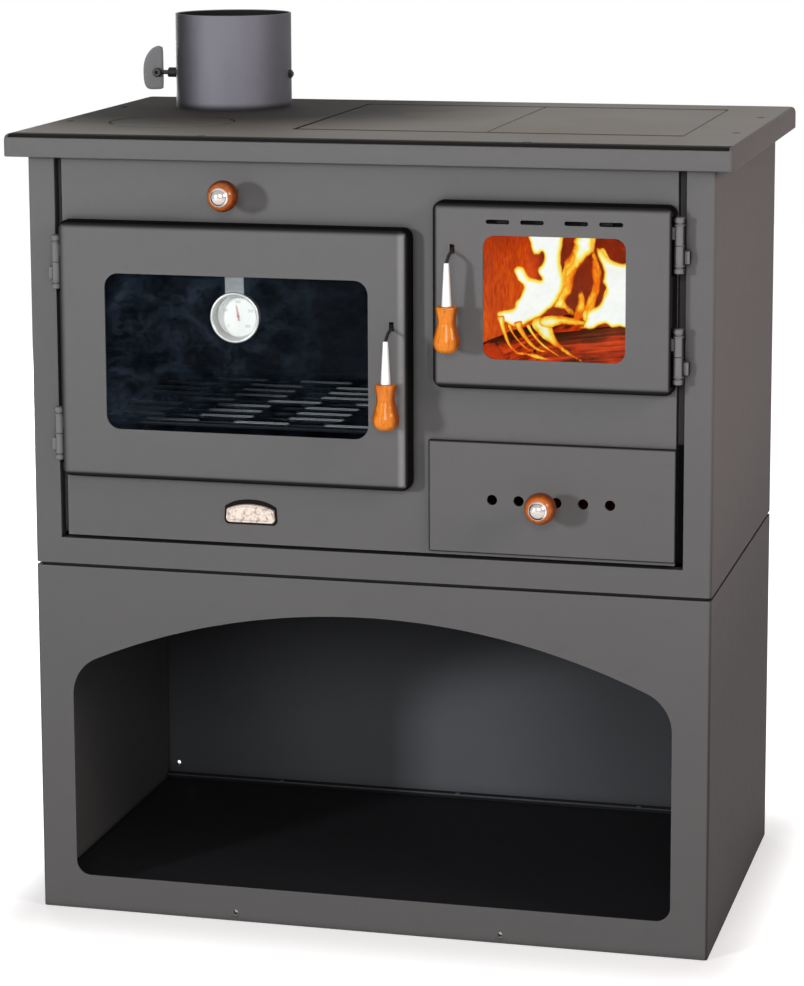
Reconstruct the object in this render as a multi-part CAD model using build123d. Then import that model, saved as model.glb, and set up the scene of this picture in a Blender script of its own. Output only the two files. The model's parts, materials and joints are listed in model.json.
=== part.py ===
from build123d import *
import math
import os

os.makedirs("parts", exist_ok=True)

# A wood cookstove on a wood-store base, in millimetres.
# +Z is up, +X is the viewer's right, the front faces -Y.
# The origin is on the floor, in the middle of the base.

# ---------------------------------------------------------------- front layout
oven_door_width = 382.0
firebox_door_width = 250.0
door_spacing = 24.0            # strip of front panel between the two doors
frame_flange = 29.5            # upright flange folded from each side of the casing
reveal = 8.5                   # dark gap between the flange and the front panel
body_depth = 440.0
base_height = 383.0
joint_gap = 3.5                # shadow gap between the base and the casing
bottom_rail = 28.0             # casing strip under the front panel
bottom_reveal = 4.0
ash_front_margin = 3.5
ash_front_height = 118.0
ash_to_fire_door = 57.0
firebox_door_height = 193.0
top_strip = 36.0               # front panel above the firebox door
oven_door_height = 274.0
oven_top_strip = 66.0          # front panel above the oven door

# ---------------------------------------------------------------- sheet and fits
sheet = 2.0                    # casing, base and panel steel
corner_fold = 4.0              # outer radius of the folded upright corners
return_depth = 14.0            # folds behind the edges of panel and flanges
edge_lip = 13.0                # the side returns end in a lip behind the frame
turn_in = 20.0                 # flat flanges turned inwards at top and bottom
seat_gap = 0.3                 # what a piece stands off its seat
pin_clearance = 0.05           # radial, for pins and shafts that turn
press_clearance = 0.02         # radial, for shafts fixed in their bores

# ---------------------------------------------------------------- wood-store base
arch_margin = 39.0             # steel each side of the arched opening
arch_sill = 38.0
arch_crown = 345.0
arch_radius = 749.0
arch_shoulder = 45.0
arch_foot = 16.0
floor_height = 20.0
back_fold_height = 23.0
back_fold_depth = 12.0
base_screw_offset = 146.0
base_screw_height = 10.0

# ---------------------------------------------------------------- hob
hob_overhang = 20.0
hob_back_overhang = 25.0
rim_height = 20.5
rim_wall = 3.0
rim_corner = 9.0
rim_ledge = 24.0
plate_thickness = 8.0
plate_lip = 3.5                # plate standing above the rim
plate_edge_gap = 1.0
insert_width = 208.5
insert_depth = 313.0
insert_right_margin = 68.0
insert_front_margin = 112.0
insert_step = 8.0
insert_gap = 1.3
bridge_width = 30.0
bridge_depth = 6.0
lid_radius = 69.0
lid_from_left = 133.0
lid_from_front = 168.0
lid_notch_angle = 27.5
lift_notch = 5.0
hob_screw_margin = 20.0
hob_screw_offset = 173.0       # front screws each side of the middle
hob_screw_depths = (156.0, 336.0)

# ---------------------------------------------------------------- flue and damper
flue_radius = 66.0
flue_wall = 2.5
flue_height = 107.0
flue_from_left = 142.0
flue_from_back = 115.0
flue_fit_length = 60.0         # upper stretch that a flue pipe slides over
flue_lower_step = 0.8
flue_flange = 10.0
spindle_radius = 4.0
spindle_height = 38.0
disc_clearance = 2.0
disc_thickness = 2.0
lever_radius = 23.0
lever_raise = 6.5
lever_thickness = 2.5
spring_wire = 1.6
spring_turns = 4
spring_pitch = 2.3

# ---------------------------------------------------------------- oven and firebox
door_depth = 22.0
door_sheet = 2.5
door_round = 9.0
door_corner = 10.0
door_standoff = 1.5
door_lap = 12.0                # door edge beyond the edge of its opening
opening_corner = 8.0
oven_depth = 320.0
oven_runner_rise = 43.0
oven_runner_pitch = 66.0
oven_runner_setback = 40.0     # runners start behind the front of the liner
oven_runner_levels = 3
oven_runner_width = 8.0
oven_runner_height = 3.0
oven_window_margins = (53.0, 43.0, 54.0, 54.0)     # steel left, right, below and above
oven_window_corner = 15.0
fire_window_margins = (54.0, 49.0, 32.5, 33.5)
fire_window_corner = 12.0
glass_thickness = 4.0
glass_lap = 12.0
gasket_thickness = 1.2
inner_panel_sheet = 1.5
inner_panel_depth = 3.0        # from the inner panel's back to the front panel
air_slot_length = 24.5
air_slot_height = 4.5
air_slot_rise = 14.0
air_slot_inner = 22.7
air_slot_outer = 58.3
fire_shell_wall = 4.0
fire_shell_margin = 20.0       # firebox beyond the left edge of its opening
fire_depth = 376.0
fire_floor_rise = 6.0          # firebox floor above the ash front
brick_thickness = 25.0
brick_height = 205.0
brick_front_gap = 18.0
grate_thickness = 10.0
grate_slots = 9
grate_slot_width = 9.0
grate_front_gap = 30.0         # hearth in front of the grate
grate_back_gap = 20.0
log_radius = 30.0
log_length = 230.0
log_spread = 43.0
top_log_radius = 24.0
top_log_length = 150.0
top_log_forward = 40.0
top_log_nest = 5.5             # how far the top log sinks between the split faces
fire_sill_height = 48.0
fire_sill_thickness = 15.0

# ---------------------------------------------------------------- hinges
hinge_axis_offset = 3.0        # axis outside the edge of the door
hinge_axis_proud = 10.0
hinge_length = 57.5
knuckle_radius = 5.1
knuckle_cap_radius = 5.7
hinge_pin_radius = 2.5
hinge_notch_clearance = 0.8
oven_hinge_inset = 45.0
fire_hinge_inset = 40.0

# ---------------------------------------------------------------- latches and handles
oven_latch_inset = 18.0
oven_latch_height = 172.0
fire_latch_inset = 22.0
fire_latch_height = 143.5
latch_pivot_proud = 13.0
latch_pin_radius = 1.5
latch_hub_radius = 4.0
latch_hub_width = 5.4
latch_rod_radius = 1.7
latch_reach = 14.0             # arm behind the face of the front panel
latch_hole_low = 10.5          # hole in the inner panel that the arm swings down in
latch_hole_high = 6.0
handle_proud = 47.0
handle_drop = 10.0             # top of the cone under the pivot
cone_length = 44.5
cone_top_radius = 2.8
cone_bottom_radius = 5.2
grip_length = 46.5
grip_neck_radius = 11.4
grip_waist_radius = 9.9
grip_bulb_radius = 13.8

# ---------------------------------------------------------------- knobs and drawer
knob_radius = 16.4
knob_half_length = 14.0
knob_stem_radius = 4.0
knob_proud = 30.0
knob_cap_radius = 9.2
knob_cap_height = 4.5
ash_front_width = 258.5
ash_front_thickness = 3.0
ash_front_gap = 1.0
ash_box_length = 340.0
ash_box_height = 74.0
ash_box_sheet = 1.5
ash_box_side_gap = 2.0
air_hole_radius = 5.5
air_hole_height = 57.0         # above the lower edge of the ash front
air_hole_places = (-62.0, -34.0, 5.5, 33.5, 61.5)
ash_knob_shift = -5.0
bypass_from_left = 187.0       # inside the left edge of the front panel
bypass_drop = 35.0             # under the top of the front panel
bypass_travel = 45.0
bypass_plate_width = 150.0
bypass_plate_height = 60.0
bypass_plate_thickness = 3.0
bypass_port_lap = 10.0

# ---------------------------------------------------------------- thermometer, badge
thermo_radius = 27.0
thermo_depth = 8.5
thermo_from_window_centre = -3.0
thermo_below_window_top = 45.0
thermo_strap_width = 21.0
badge_width = 57.0
badge_height = 29.0
badge_side_height = 22.0
badge_from_left = 206.0
badge_rim_width = 2.4
badge_rim_height = 2.2
badge_field_height = 1.2

# ---------------------------------------------------------------- worked-out places
panel_width = oven_door_width + door_spacing + firebox_door_width
half_panel = panel_width / 2
half_width = half_panel + reveal + frame_flange
front = -body_depth / 2
back = body_depth / 2
casing_bottom = base_height + joint_gap
rail_top = casing_bottom + bottom_rail
panel_bottom = rail_top + bottom_reveal
ash_front_bottom = panel_bottom + ash_front_margin
ash_front_top = ash_front_bottom + ash_front_height
fire_door_bottom = ash_front_top + ash_to_fire_door
fire_door_top = fire_door_bottom + firebox_door_height
panel_top = fire_door_top + top_strip
oven_door_top = panel_top - oven_top_strip
oven_door_bottom = oven_door_top - oven_door_height
rim_top = panel_top + rim_height
hob_top = rim_top + plate_lip
plate_bottom = hob_top - plate_thickness
door_face = front - door_depth
door_back = front - door_standoff

oven_door_left = -half_panel
oven_door_right = oven_door_left + oven_door_width
fire_door_right = half_panel
fire_door_left = fire_door_right - firebox_door_width


# ---------------------------------------------------------------- helpers
def block(x0, x1, y0, y1, z0, z1):
    """A box given by its lowest and highest corners."""
    centre = ((x0 + x1) / 2, (y0 + y1) / 2, (z0 + z1) / 2)
    return Pos(*centre) * Box(x1 - x0, y1 - y0, z1 - z0)


def outline(x0, x1, v0, v1, radius=0.0):
    """A rectangle, with rounded corners if a radius is given."""
    place = Pos((x0 + x1) / 2, (v0 + v1) / 2)
    if radius > 0:
        return place * RectangleRounded(x1 - x0, v1 - v0, radius)
    return place * Rectangle(x1 - x0, v1 - v0)


def facing(shape, y0, y1):
    """An outline in x and z, made solid from y0 (nearer the viewer) to y1."""
    return extrude(Plane.XZ.offset(-y1) * shape, y1 - y0)


def standing(shape, z0, z1):
    """An outline in x and y, made solid from z0 up to z1."""
    return extrude(Plane.XY.offset(z0) * shape, z1 - z0)


def along_x(radius, x0, x1, y, z):
    return Pos((x0 + x1) / 2, y, z) * Rot(0, 90, 0) * Cylinder(radius, x1 - x0)


def along_y(radius, x, y0, y1, z):
    return Pos(x, (y0 + y1) / 2, z) * Rot(90, 0, 0) * Cylinder(radius, y1 - y0)


def along_z(radius, x, y, z0, z1):
    return Pos(x, y, (z0 + z1) / 2) * Cylinder(radius, z1 - z0)


def upright_corners(solid, y):
    """The upright edges of a box-like solid that lie at depth y."""
    return solid.edges().filter_by(Axis.Z).filter_by_position(Axis.Y, y - 0.01, y + 0.01)


parts = {}


def keep(name, *solids):
    parts[name] = solids[0] if len(solids) == 1 else Compound(children=list(solids))


# ---------------------------------------------------------------- screws
screw_shank_radius = 2.0
screw_hole_radius = 2.3
screw_head_radius = 4.2
screw_head_height = 2.2
screw_length = 7.0
screw_recess = 0.8


def screw():
    """A pan-head screw along +Z, with its head above z = 0."""
    head = fillet((Pos(0, 0, screw_head_height / 2) * Cylinder(screw_head_radius, screw_head_height))
                  .edges().group_by(Axis.Z)[-1], 1.2)
    shank = Pos(0, 0, -screw_length / 2) * Cylinder(screw_shank_radius, screw_length)
    slot = Pos(0, 0, screw_head_height) * Box(2 * screw_head_radius, 1.0, 2 * screw_recess)
    return head + shank - slot


front_screw_places = [(side * base_screw_offset, base_screw_height) for side in (-1, 1)]
fold_screw_places = [-base_screw_offset * 1.5, 0.0, base_screw_offset * 1.5]
wall_margin = 14.0
back_screw_height = 14.0


def back_screw_places(z0, z1):
    """Screws up both sides of a back panel."""
    x = half_width - wall_margin
    heights = (z0 + back_screw_height, (z0 + z1) / 2, z1 - back_screw_height)
    return [(side * x, z) for side in (-1, 1) for z in heights]


hob_left = -half_width - hob_overhang
hob_right = half_width + hob_overhang
hob_front = front - hob_overhang
hob_back = back + hob_back_overhang
hob_screw_places = [(x, hob_front + depth) for depth in hob_screw_depths
                    for x in (hob_left + hob_screw_margin, hob_right - hob_screw_margin)]
hob_screw_places += [(side * hob_screw_offset, hob_front + hob_screw_margin) for side in (-1, 1)]


# ---------------------------------------------------------------- base
def wrap(z0, z1):
    """The sheet folded round the front and both sides, open at the back."""
    outer = block(-half_width, half_width, front, back, z0, z1)
    outer = fillet(upright_corners(outer, front), corner_fold)
    inside = half_width - sheet
    inner = block(-inside, inside, front + sheet, back + sheet, z0 - sheet, z1 + sheet)
    inner = fillet(upright_corners(inner, front + sheet), corner_fold - sheet)
    return outer - inner


def turned_flange(z0, y1):
    """A flat flange turned inwards from the three walls of a wrap."""
    inside = half_width - sheet
    band = block(-inside, inside, front + sheet, y1, z0, z0 + sheet)
    band = fillet(upright_corners(band, front + sheet), corner_fold - sheet)
    hole = block(-inside + turn_in, inside - turn_in, front + sheet + turn_in, y1 + sheet,
                 z0 - sheet, z0 + 2 * sheet)
    return band - hole


def arch_outline():
    half = half_width - arch_margin
    drop = arch_radius - math.sqrt(arch_radius ** 2 - half ** 2)
    spring = arch_crown - drop
    edge = Polyline((-half, spring), (-half, arch_sill), (half, arch_sill), (half, spring))
    crown = ThreePointArc((half, spring), (0, arch_crown), (-half, spring))
    face = make_face(edge + crown)
    low = face.vertices().group_by(Axis.Y)[0]
    face = fillet(low, arch_foot)
    high = [v for v in face.vertices() if abs(v.Y - spring) < 0.01]
    return fillet(high, arch_shoulder)


def make_base():
    body = wrap(0, base_height) + turned_flange(base_height - sheet, back - sheet - seat_gap)
    body -= facing(arch_outline(), front - sheet, front + 2 * sheet)
    for x, z in front_screw_places:
        body -= along_y(screw_hole_radius, x, front - sheet, front + 2 * sheet, z)
    keep("base_wrap", body)

    side = half_width - sheet - seat_gap
    top_side = side - turn_in
    rear = block(-side, side, back - sheet, back, back_fold_height, base_height)
    rear += block(-side, side, back - back_fold_depth, back, back_fold_height,
                  back_fold_height + sheet)
    rear += block(-top_side, top_side, back - turn_in, back, base_height - sheet, base_height)
    for x, z in back_screw_places(back_fold_height, base_height):
        rear -= along_y(screw_hole_radius, x, back - 2 * sheet, back + sheet, z)
    fold_y = back - back_fold_depth / 2 - sheet / 2
    for x in fold_screw_places:
        rear -= along_z(screw_hole_radius, x, fold_y, back_fold_height - sheet,
                        back_fold_height + 2 * sheet)
    keep("base_back", rear)

    y0 = front + sheet + seat_gap
    y1 = back - seat_gap
    pan = block(-side, side, y0, y1, floor_height - sheet, floor_height)
    skirt = block(-side, side, y0, y1, sheet, floor_height)
    skirt -= block(-side + sheet, side - sheet, y0 + sheet, y1 - sheet, 0, floor_height + sheet)
    lip = block(-side, side, back - back_fold_depth, back - back_fold_depth + sheet,
                floor_height - sheet, back_fold_height - seat_gap)
    pan = pan + skirt + lip
    pan = fillet(upright_corners(pan, y0), corner_fold - sheet)
    for x, z in front_screw_places:
        pan -= along_y(screw_hole_radius, x, front, y0 + 2 * sheet, z)
    for x in fold_screw_places:
        pan -= along_z(screw_hole_radius, x, fold_y, 0, floor_height + sheet)
    keep("base_floor", pan)
    return fold_y


fold_screw_y = make_base()


# ---------------------------------------------------------------- casing
frame_edge = half_panel + reveal


def make_casing():
    body = wrap(casing_bottom, panel_top)
    body += turned_flange(casing_bottom, back - sheet - seat_gap)
    body -= block(-frame_edge, frame_edge, front - sheet, front + sheet, rail_top, panel_top + sheet)
    for side in (-1, 1):
        near, far = sorted((side * frame_edge, side * (frame_edge + sheet)))
        body += block(near, far, front, front + return_depth, rail_top - sheet, panel_top)
    body += block(-frame_edge, frame_edge, front, front + return_depth, rail_top - sheet, rail_top)
    keep("casing_wrap", body)

    side = half_width - sheet - seat_gap
    rear = block(-side, side, back - sheet, back, casing_bottom, panel_top)
    rib_height = 12.0
    rib_proud = 3.0
    rib_inset = 60.0
    for share in (1 / 3, 2 / 3):
        z = casing_bottom + share * (panel_top - casing_bottom)
        rib = block(-side + rib_inset, side - rib_inset, back, back + rib_proud,
                    z - rib_height / 2, z + rib_height / 2)
        rib = chamfer(rib.faces().sort_by(Axis.Y)[-1].edges(), rib_proud * 0.7)
        rear += rib
    for x, z in back_screw_places(casing_bottom, panel_top):
        rear -= along_y(screw_hole_radius, x, back - 2 * sheet, back + sheet, z)
    keep("casing_back", rear)

    floor_inset = 5.0
    floor_side = half_width - floor_inset
    keep("casing_floor", block(-floor_side, floor_side, front + floor_inset, back - floor_inset,
                               base_height, casing_bottom))


make_casing()


# ---------------------------------------------------------------- front panel
oven_open = (oven_door_left + door_lap, oven_door_right - door_lap,
             oven_door_bottom + door_lap, oven_door_top - door_lap)
fire_open = (fire_door_left + door_lap, fire_door_right - door_lap,
             fire_door_bottom + door_lap, fire_door_top - door_lap)
ash_front_right = half_panel + 1.0
ash_front_left = ash_front_right - ash_front_width
ash_centre = (ash_front_left + ash_front_right) / 2
ash_chamber_wall = 2.0
ash_open_margin = 11.0
ash_open = (ash_front_left + ash_open_margin, ash_front_right - ash_open_margin,
            ash_front_bottom + 3.0, ash_front_top - 8.0)
bypass_x = -half_panel + bypass_from_left
bypass_z = panel_top - bypass_drop


def make_front_panel():
    top = panel_top - seat_gap
    panel = facing(outline(-half_panel, half_panel, panel_bottom, top), front, front + sheet)
    behind = front + return_depth
    lip_front = behind + seat_gap
    for side in (-1, 1):
        near, far = sorted((side * half_panel, side * (half_panel - sheet)))
        panel += block(near, far, front, lip_front + sheet, panel_bottom, top)
        near, far = sorted((side * (half_panel - sheet), side * (half_panel + edge_lip)))
        panel += block(near, far, lip_front, lip_front + sheet, panel_bottom, top)
    panel += block(-half_panel, half_panel, front, behind, panel_bottom, panel_bottom + sheet)
    for hole in (oven_open, fire_open):
        panel -= facing(outline(*hole, opening_corner), front - sheet, front + 2 * sheet)
    panel -= facing(outline(*ash_open), front - sheet, front + 2 * sheet)
    panel -= along_y(knob_stem_radius + seat_gap, bypass_x, front - sheet, front + 2 * sheet, bypass_z)
    keep("front_panel", panel)


make_front_panel()


def badge_outline(inset):
    half = badge_width / 2 - inset
    bottom = inset
    shoulder = badge_side_height - inset
    crown = badge_height - inset
    edge = Polyline((-half, shoulder), (-half, bottom), (half, bottom), (half, shoulder))
    return make_face(edge + ThreePointArc((half, shoulder), (0, crown), (-half, shoulder)))


def make_badge():
    x = -half_panel + badge_from_left
    z = (panel_bottom + oven_door_bottom - badge_height) / 2
    rim = facing(Pos(x, z) * badge_outline(0), front - badge_rim_height, front)
    field = facing(Pos(x, z) * badge_outline(badge_rim_width), front - 2 * badge_rim_height,
                   front - badge_field_height)
    keep("badge", rim - field)


make_badge()


# ---------------------------------------------------------------- hob
insert_right = hob_right - insert_right_margin
insert_mid = insert_right - insert_width
insert_left = insert_mid - insert_width
insert_front = hob_front + insert_front_margin
insert_back = insert_front + insert_depth
step_height = hob_top - plate_thickness / 2
lid_x = hob_left + lid_from_left
lid_y = hob_front + lid_from_front
flue_x = hob_left + flue_from_left
flue_y = hob_back - flue_from_back
flue_outer = flue_radius + flue_lower_step


def ring(x0, x1, y0, y1, width, z0, z1, corner):
    """A rounded rectangular frame of the given width."""
    outer = standing(outline(x0, x1, y0, y1, corner), z0, z1)
    inner = outline(x0 + width, x1 - width, y0 + width, y1 - width, max(corner - width, 1.0))
    return outer - standing(inner, z0 - 1, z1 + 1)


def make_hob():
    shell = standing(outline(hob_left, hob_right, hob_front, hob_back, rim_corner), panel_top, rim_top)
    edges = shell.faces().filter_by(Plane.XY).sort_by(Axis.Z)[0].edges()
    shell = fillet(edges, rim_wall * 0.8)
    shell = fillet(shell.faces().filter_by(Plane.XY).sort_by(Axis.Z)[-1].edges(), rim_wall * 0.3)
    cavity = (hob_left + rim_wall, hob_right - rim_wall, hob_front + rim_wall, hob_back - rim_wall)
    shell -= standing(outline(*cavity, rim_corner - rim_wall), panel_top + rim_wall, rim_top + 1)
    flange = half_width - sheet - turn_in
    shell -= block(-flange, flange, front + sheet + turn_in, back - sheet - turn_in,
                   panel_top - 1, rim_top)
    shell += ring(*cavity, rim_ledge, plate_bottom - rim_wall, plate_bottom, rim_corner - rim_wall)
    for x, y in hob_screw_places:
        shell -= along_z(screw_hole_radius, x, y, plate_bottom - 2 * rim_wall, rim_top + 1)
    keep("hob_rim", shell)

    gap = rim_wall + plate_edge_gap
    plate = standing(outline(hob_left + gap, hob_right - gap, hob_front + gap, hob_back - gap,
                             rim_corner - gap), plate_bottom, hob_top)
    plate = fillet(plate.faces().filter_by(Plane.XY).sort_by(Axis.Z)[-1].edges(), 0.8)
    plate -= block(insert_left, insert_right, insert_front, insert_back, step_height, hob_top + 1)
    plate -= block(insert_left + insert_step, insert_right - insert_step,
                   insert_front + insert_step, insert_back - insert_step, plate_bottom - 1, hob_top)
    plate -= along_z(lid_radius, lid_x, lid_y, step_height, hob_top + 1)
    plate -= along_z(lid_radius - insert_step, lid_x, lid_y, plate_bottom - 1, hob_top)
    plate -= along_z(flue_outer + seat_gap, flue_x, flue_y, plate_bottom - 1, hob_top + 1)
    plate += block(insert_mid - bridge_width / 2, insert_mid + bridge_width / 2,
                   insert_front - insert_step, insert_back + insert_step,
                   plate_bottom - bridge_depth, plate_bottom)
    for x, y in hob_screw_places:
        plate -= along_z(screw_head_radius + seat_gap, x, y, hob_top - screw_head_height, hob_top + 1)
        plate -= along_z(screw_hole_radius, x, y, plate_bottom - 1, hob_top)
    keep("hob_plate", plate)

    g = insert_gap
    inner_step = insert_step + g
    for name, x0, x1, mid_side in (("hob_insert_left", insert_left, insert_mid, 1),
                                   ("hob_insert_right", insert_mid, insert_right, -1)):
        top0 = x0 + (g if mid_side > 0 else g / 2)
        top1 = x1 - (g / 2 if mid_side > 0 else g)
        low0 = x0 + (inner_step if mid_side > 0 else g / 2)
        low1 = x1 - (g / 2 if mid_side > 0 else inner_step)
        body = block(top0, top1, insert_front + g, insert_back - g, step_height, hob_top)
        body = chamfer(body.faces().sort_by(Axis.Z)[-1].edges(), 0.5)
        body += block(low0, low1, insert_front + inner_step, insert_back - inner_step,
                      plate_bottom, step_height)
        corner = top0 if mid_side > 0 else top1
        for y in (insert_front + g, insert_back - g):
            body -= along_z(lift_notch, corner, y, step_height, hob_top + 1)
        keep(name, body)

    lid = along_z(lid_radius - g, lid_x, lid_y, step_height, hob_top)
    lid = chamfer(lid.faces().sort_by(Axis.Z)[-1].edges(), 0.5)
    lid += along_z(lid_radius - inner_step, lid_x, lid_y, plate_bottom, step_height)
    for turn in (0, 180):
        angle = math.radians(lid_notch_angle + turn)
        lid -= along_z(lift_notch, lid_x + lid_radius * math.cos(angle),
                       lid_y + lid_radius * math.sin(angle), step_height, hob_top + 1)
    keep("cleaning_lid", lid)


make_hob()


# ---------------------------------------------------------------- flue and its damper
flue_top = hob_top + flue_height
flue_inner = flue_radius - flue_wall
spindle_z = hob_top + spindle_height
flange_top = plate_bottom - seat_gap


def make_flue():
    step_z = flue_top - flue_fit_length
    tube = along_z(flue_outer, flue_x, flue_y, flange_top - rim_wall, step_z)
    tube += along_z(flue_radius, flue_x, flue_y, step_z, flue_top)
    tube += along_z(flue_outer + flue_flange, flue_x, flue_y, flange_top - rim_wall, flange_top)
    tube -= along_z(flue_inner, flue_x, flue_y, flange_top - 2 * rim_wall, flue_top + 1)
    tube -= along_x(spindle_radius + pin_clearance, flue_x - flue_outer - 1, flue_x + flue_outer + 1,
                    flue_y, spindle_z)
    keep("flue_spigot", tube)


make_flue()

spring_length = spring_turns * spring_pitch + 2 * spring_wire
lever_edge = flue_x - flue_outer - seat_gap - spring_length
lever_boss_radius = spindle_radius + 1.8
nut_gap = 0.4
nut_width = 6.0
nut_across = 6.5


def helix_wire(start_x, radius):
    """Half-turn arcs in turned planes, each a step further along the spindle."""
    step = spring_pitch / 2
    pieces = []
    point = None
    count = spring_turns * 4
    for quarter in range(count + 1):
        angle = quarter * math.pi / 2
        place = Vector(start_x - quarter * step / 2, flue_y + radius * math.cos(angle),
                       spindle_z + radius * math.sin(angle))
        along = Vector(-2 * step / math.pi, -radius * math.sin(angle), radius * math.cos(angle))
        if point is not None:
            pieces += biarc(point[0], point[1], place, along.normalized())
        point = (place, along.normalized())
    return pieces


def biarc(p0, t0, p1, t1):
    """Two tangent arcs from p0 to p1 that leave along t0 and arrive along t1."""
    v = p1 - p0
    t = t0 + t1
    a = 2 * (1 - t0.dot(t1))
    b = 2 * v.dot(t)
    c = -v.dot(v)
    d = (-b + math.sqrt(b * b - 4 * a * c)) / (2 * a)
    joint = (p0 + t0 * d + p1 - t1 * d) * 0.5
    return [TangentArc(p0, joint, tangent=t0), TangentArc(p1, joint, tangent=t1 * -1)]


def self_gap(path, apart):
    """The least distance between points of a path that lie further than apart along it."""
    count = 400
    skip = int(apart / path.length * count)
    spots = [path.position_at(index / count) for index in range(count + 1)]
    return min((spots[first] - spots[second]).length
               for first in range(count + 1) for second in range(first + skip, count + 1))


def make_spring():
    wire_radius = spring_wire / 2
    radius = spindle_radius + seat_gap + wire_radius + 0.3
    start_x = flue_x - flue_outer - seat_gap - spring_wire
    pieces = helix_wire(start_x, radius)
    first = pieces[0] @ 0
    start_along = Vector(-spring_pitch / (2 * math.pi), 0, radius).normalized()
    lead = Line(first - start_along * spring_wire, first)
    last_x = start_x - spring_turns * spring_pitch
    last = Vector(last_x, flue_y + radius, spindle_z)
    tail = Line(last, last + start_along * spring_wire)
    path = Wire([lead.edge()] + [p.edge() for p in pieces] + [tail.edge()])
    section = Plane(origin=first - start_along * spring_wire, z_dir=start_along) * Circle(wire_radius)
    coil = sweep(section, path=path)
    print("spring self gap", round(self_gap(path, math.pi * radius) - spring_wire, 2), "volume ratio",
          round(coil.volume / (math.pi * wire_radius ** 2 * path.length), 4))
    keep("damper_spring", coil)


def make_damper():
    boss = along_x(lever_boss_radius, flue_x - flue_inner + disc_clearance + 4,
                   flue_x + flue_inner - disc_clearance - 4, flue_y, spindle_z)
    disc = along_y(flue_inner - disc_clearance, flue_x, flue_y - disc_thickness / 2,
                   flue_y + disc_thickness / 2, spindle_z) + boss
    disc -= along_x(spindle_radius + press_clearance, flue_x - flue_radius, flue_x + flue_radius,
                    flue_y, spindle_z)
    keep("damper_disc", *disc.solids())

    left_end = lever_edge - lever_radius * 0.35
    nut_x = flue_x + flue_outer + nut_gap
    spindle = along_x(spindle_radius, left_end, nut_x + nut_width + 2, flue_y, spindle_z)
    hexagon = Plane.YZ.offset(nut_x) * Pos(flue_y, spindle_z) * RegularPolygon(nut_across, 6)
    spindle += extrude(hexagon, nut_width)
    keep("damper_spindle", spindle)

    moon = facing(Pos(lever_edge, spindle_z + lever_raise) * Circle(lever_radius),
                  flue_y - lever_thickness / 2, flue_y + lever_thickness / 2)
    moon -= block(lever_edge, lever_edge + 2 * lever_radius, flue_y - lever_thickness,
                  flue_y + lever_thickness, spindle_z - 2 * lever_radius, spindle_z + 2 * lever_radius)
    moon += along_x(lever_boss_radius, left_end - 2, lever_edge, flue_y, spindle_z)
    moon -= along_x(spindle_radius + press_clearance, left_end, lever_edge + 1, flue_y, spindle_z)
    keep("damper_lever", moon)
    make_spring()


make_damper()


# ---------------------------------------------------------------- oven and smoke path
liner_wall = 2.0
liner_front = front + sheet
liner_back = liner_front + oven_depth
liner_top = oven_open[3] + liner_wall
fire_shell_left = fire_open[0] - fire_shell_margin
fire_shell_right = half_panel - sheet - 1.0
fire_shell_top = plate_bottom - seat_gap
partition_thickness = 3.0
partition_y = flue_y - flue_outer - flue_flange - 6.0


def make_oven():
    x0, x1, z0, z1 = oven_open
    liner = block(x0 - liner_wall, x1 + liner_wall, liner_front, liner_back, z0 - liner_wall, liner_top)
    liner -= block(x0, x1, liner_front - 1, liner_back - liner_wall, z0, z1)
    keep("oven_liner", liner)

    runners = []
    runner_start = liner_front + oven_runner_setback
    for level in range(oven_runner_levels):
        z = z0 + oven_runner_rise + level * oven_runner_pitch
        for near, far in ((x0, x0 + oven_runner_width), (x1 - oven_runner_width, x1)):
            runners.append(block(near, far, runner_start, liner_back - liner_wall,
                                 z - oven_runner_height, z))
    keep("oven_runners", *runners)

    shelf_gap = 1.5
    y0 = runner_start
    y1 = liner_back - liner_wall - shelf_gap
    z = z0 + oven_runner_rise
    shelf = block(x0 + shelf_gap, x1 - shelf_gap, y0, y1, z, z + liner_wall)
    shelf += block(x0 + shelf_gap, x1 - shelf_gap, y0, y0 + liner_wall, z, z + oven_runner_width)
    slot_width = 7.0
    slot_pitch = 18.0
    rows = 3
    rim = 22.0
    row_length = (y1 - y0 - 2 * rim) / rows
    count = int((x1 - x0 - 2 * rim) // slot_pitch)
    middle = (x0 + x1) / 2
    cutters = Sketch()
    for row in range(rows):
        y = y0 + rim + (row + 0.5) * row_length
        for index in range(count):
            x = middle + (index - (count - 1) / 2) * slot_pitch
            cutters += Pos(x, y) * SlotOverall(row_length - rim / 2, slot_width, rotation=90)
    shelf -= standing(cutters, z - 1, z + liner_wall + 1)
    keep("oven_shelf", shelf)

    lower_side = half_width - sheet - seat_gap
    upper_side = half_width - sheet - turn_in - seat_gap
    wall_end = fire_shell_left - seat_gap
    wall = block(-lower_side, wall_end, partition_y, partition_y + partition_thickness,
                 liner_top, panel_top - seat_gap)
    wall += block(-upper_side, wall_end, partition_y, partition_y + partition_thickness,
                  liner_top, fire_shell_top)
    port = bypass_plate_width / 2 - bypass_port_lap
    port_half = bypass_plate_height / 2 - bypass_port_lap
    wall -= block(bypass_x - port, bypass_x + port, partition_y - 1,
                  partition_y + partition_thickness + 1, bypass_z - port_half, bypass_z + port_half)
    keep("smoke_partition", wall)


make_oven()


def ball_knob(x, y, z):
    """A turned wooden ball, flattened at its two ends, bored for its stem."""
    ball = Pos(x, y, z) * Sphere(knob_radius)
    ball &= block(x - knob_radius, x + knob_radius, y - knob_half_length, y + knob_half_length,
                  z - knob_radius, z + knob_radius)
    return ball - along_y(knob_stem_radius + press_clearance, x, y - knob_radius, y + knob_radius, z)


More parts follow.
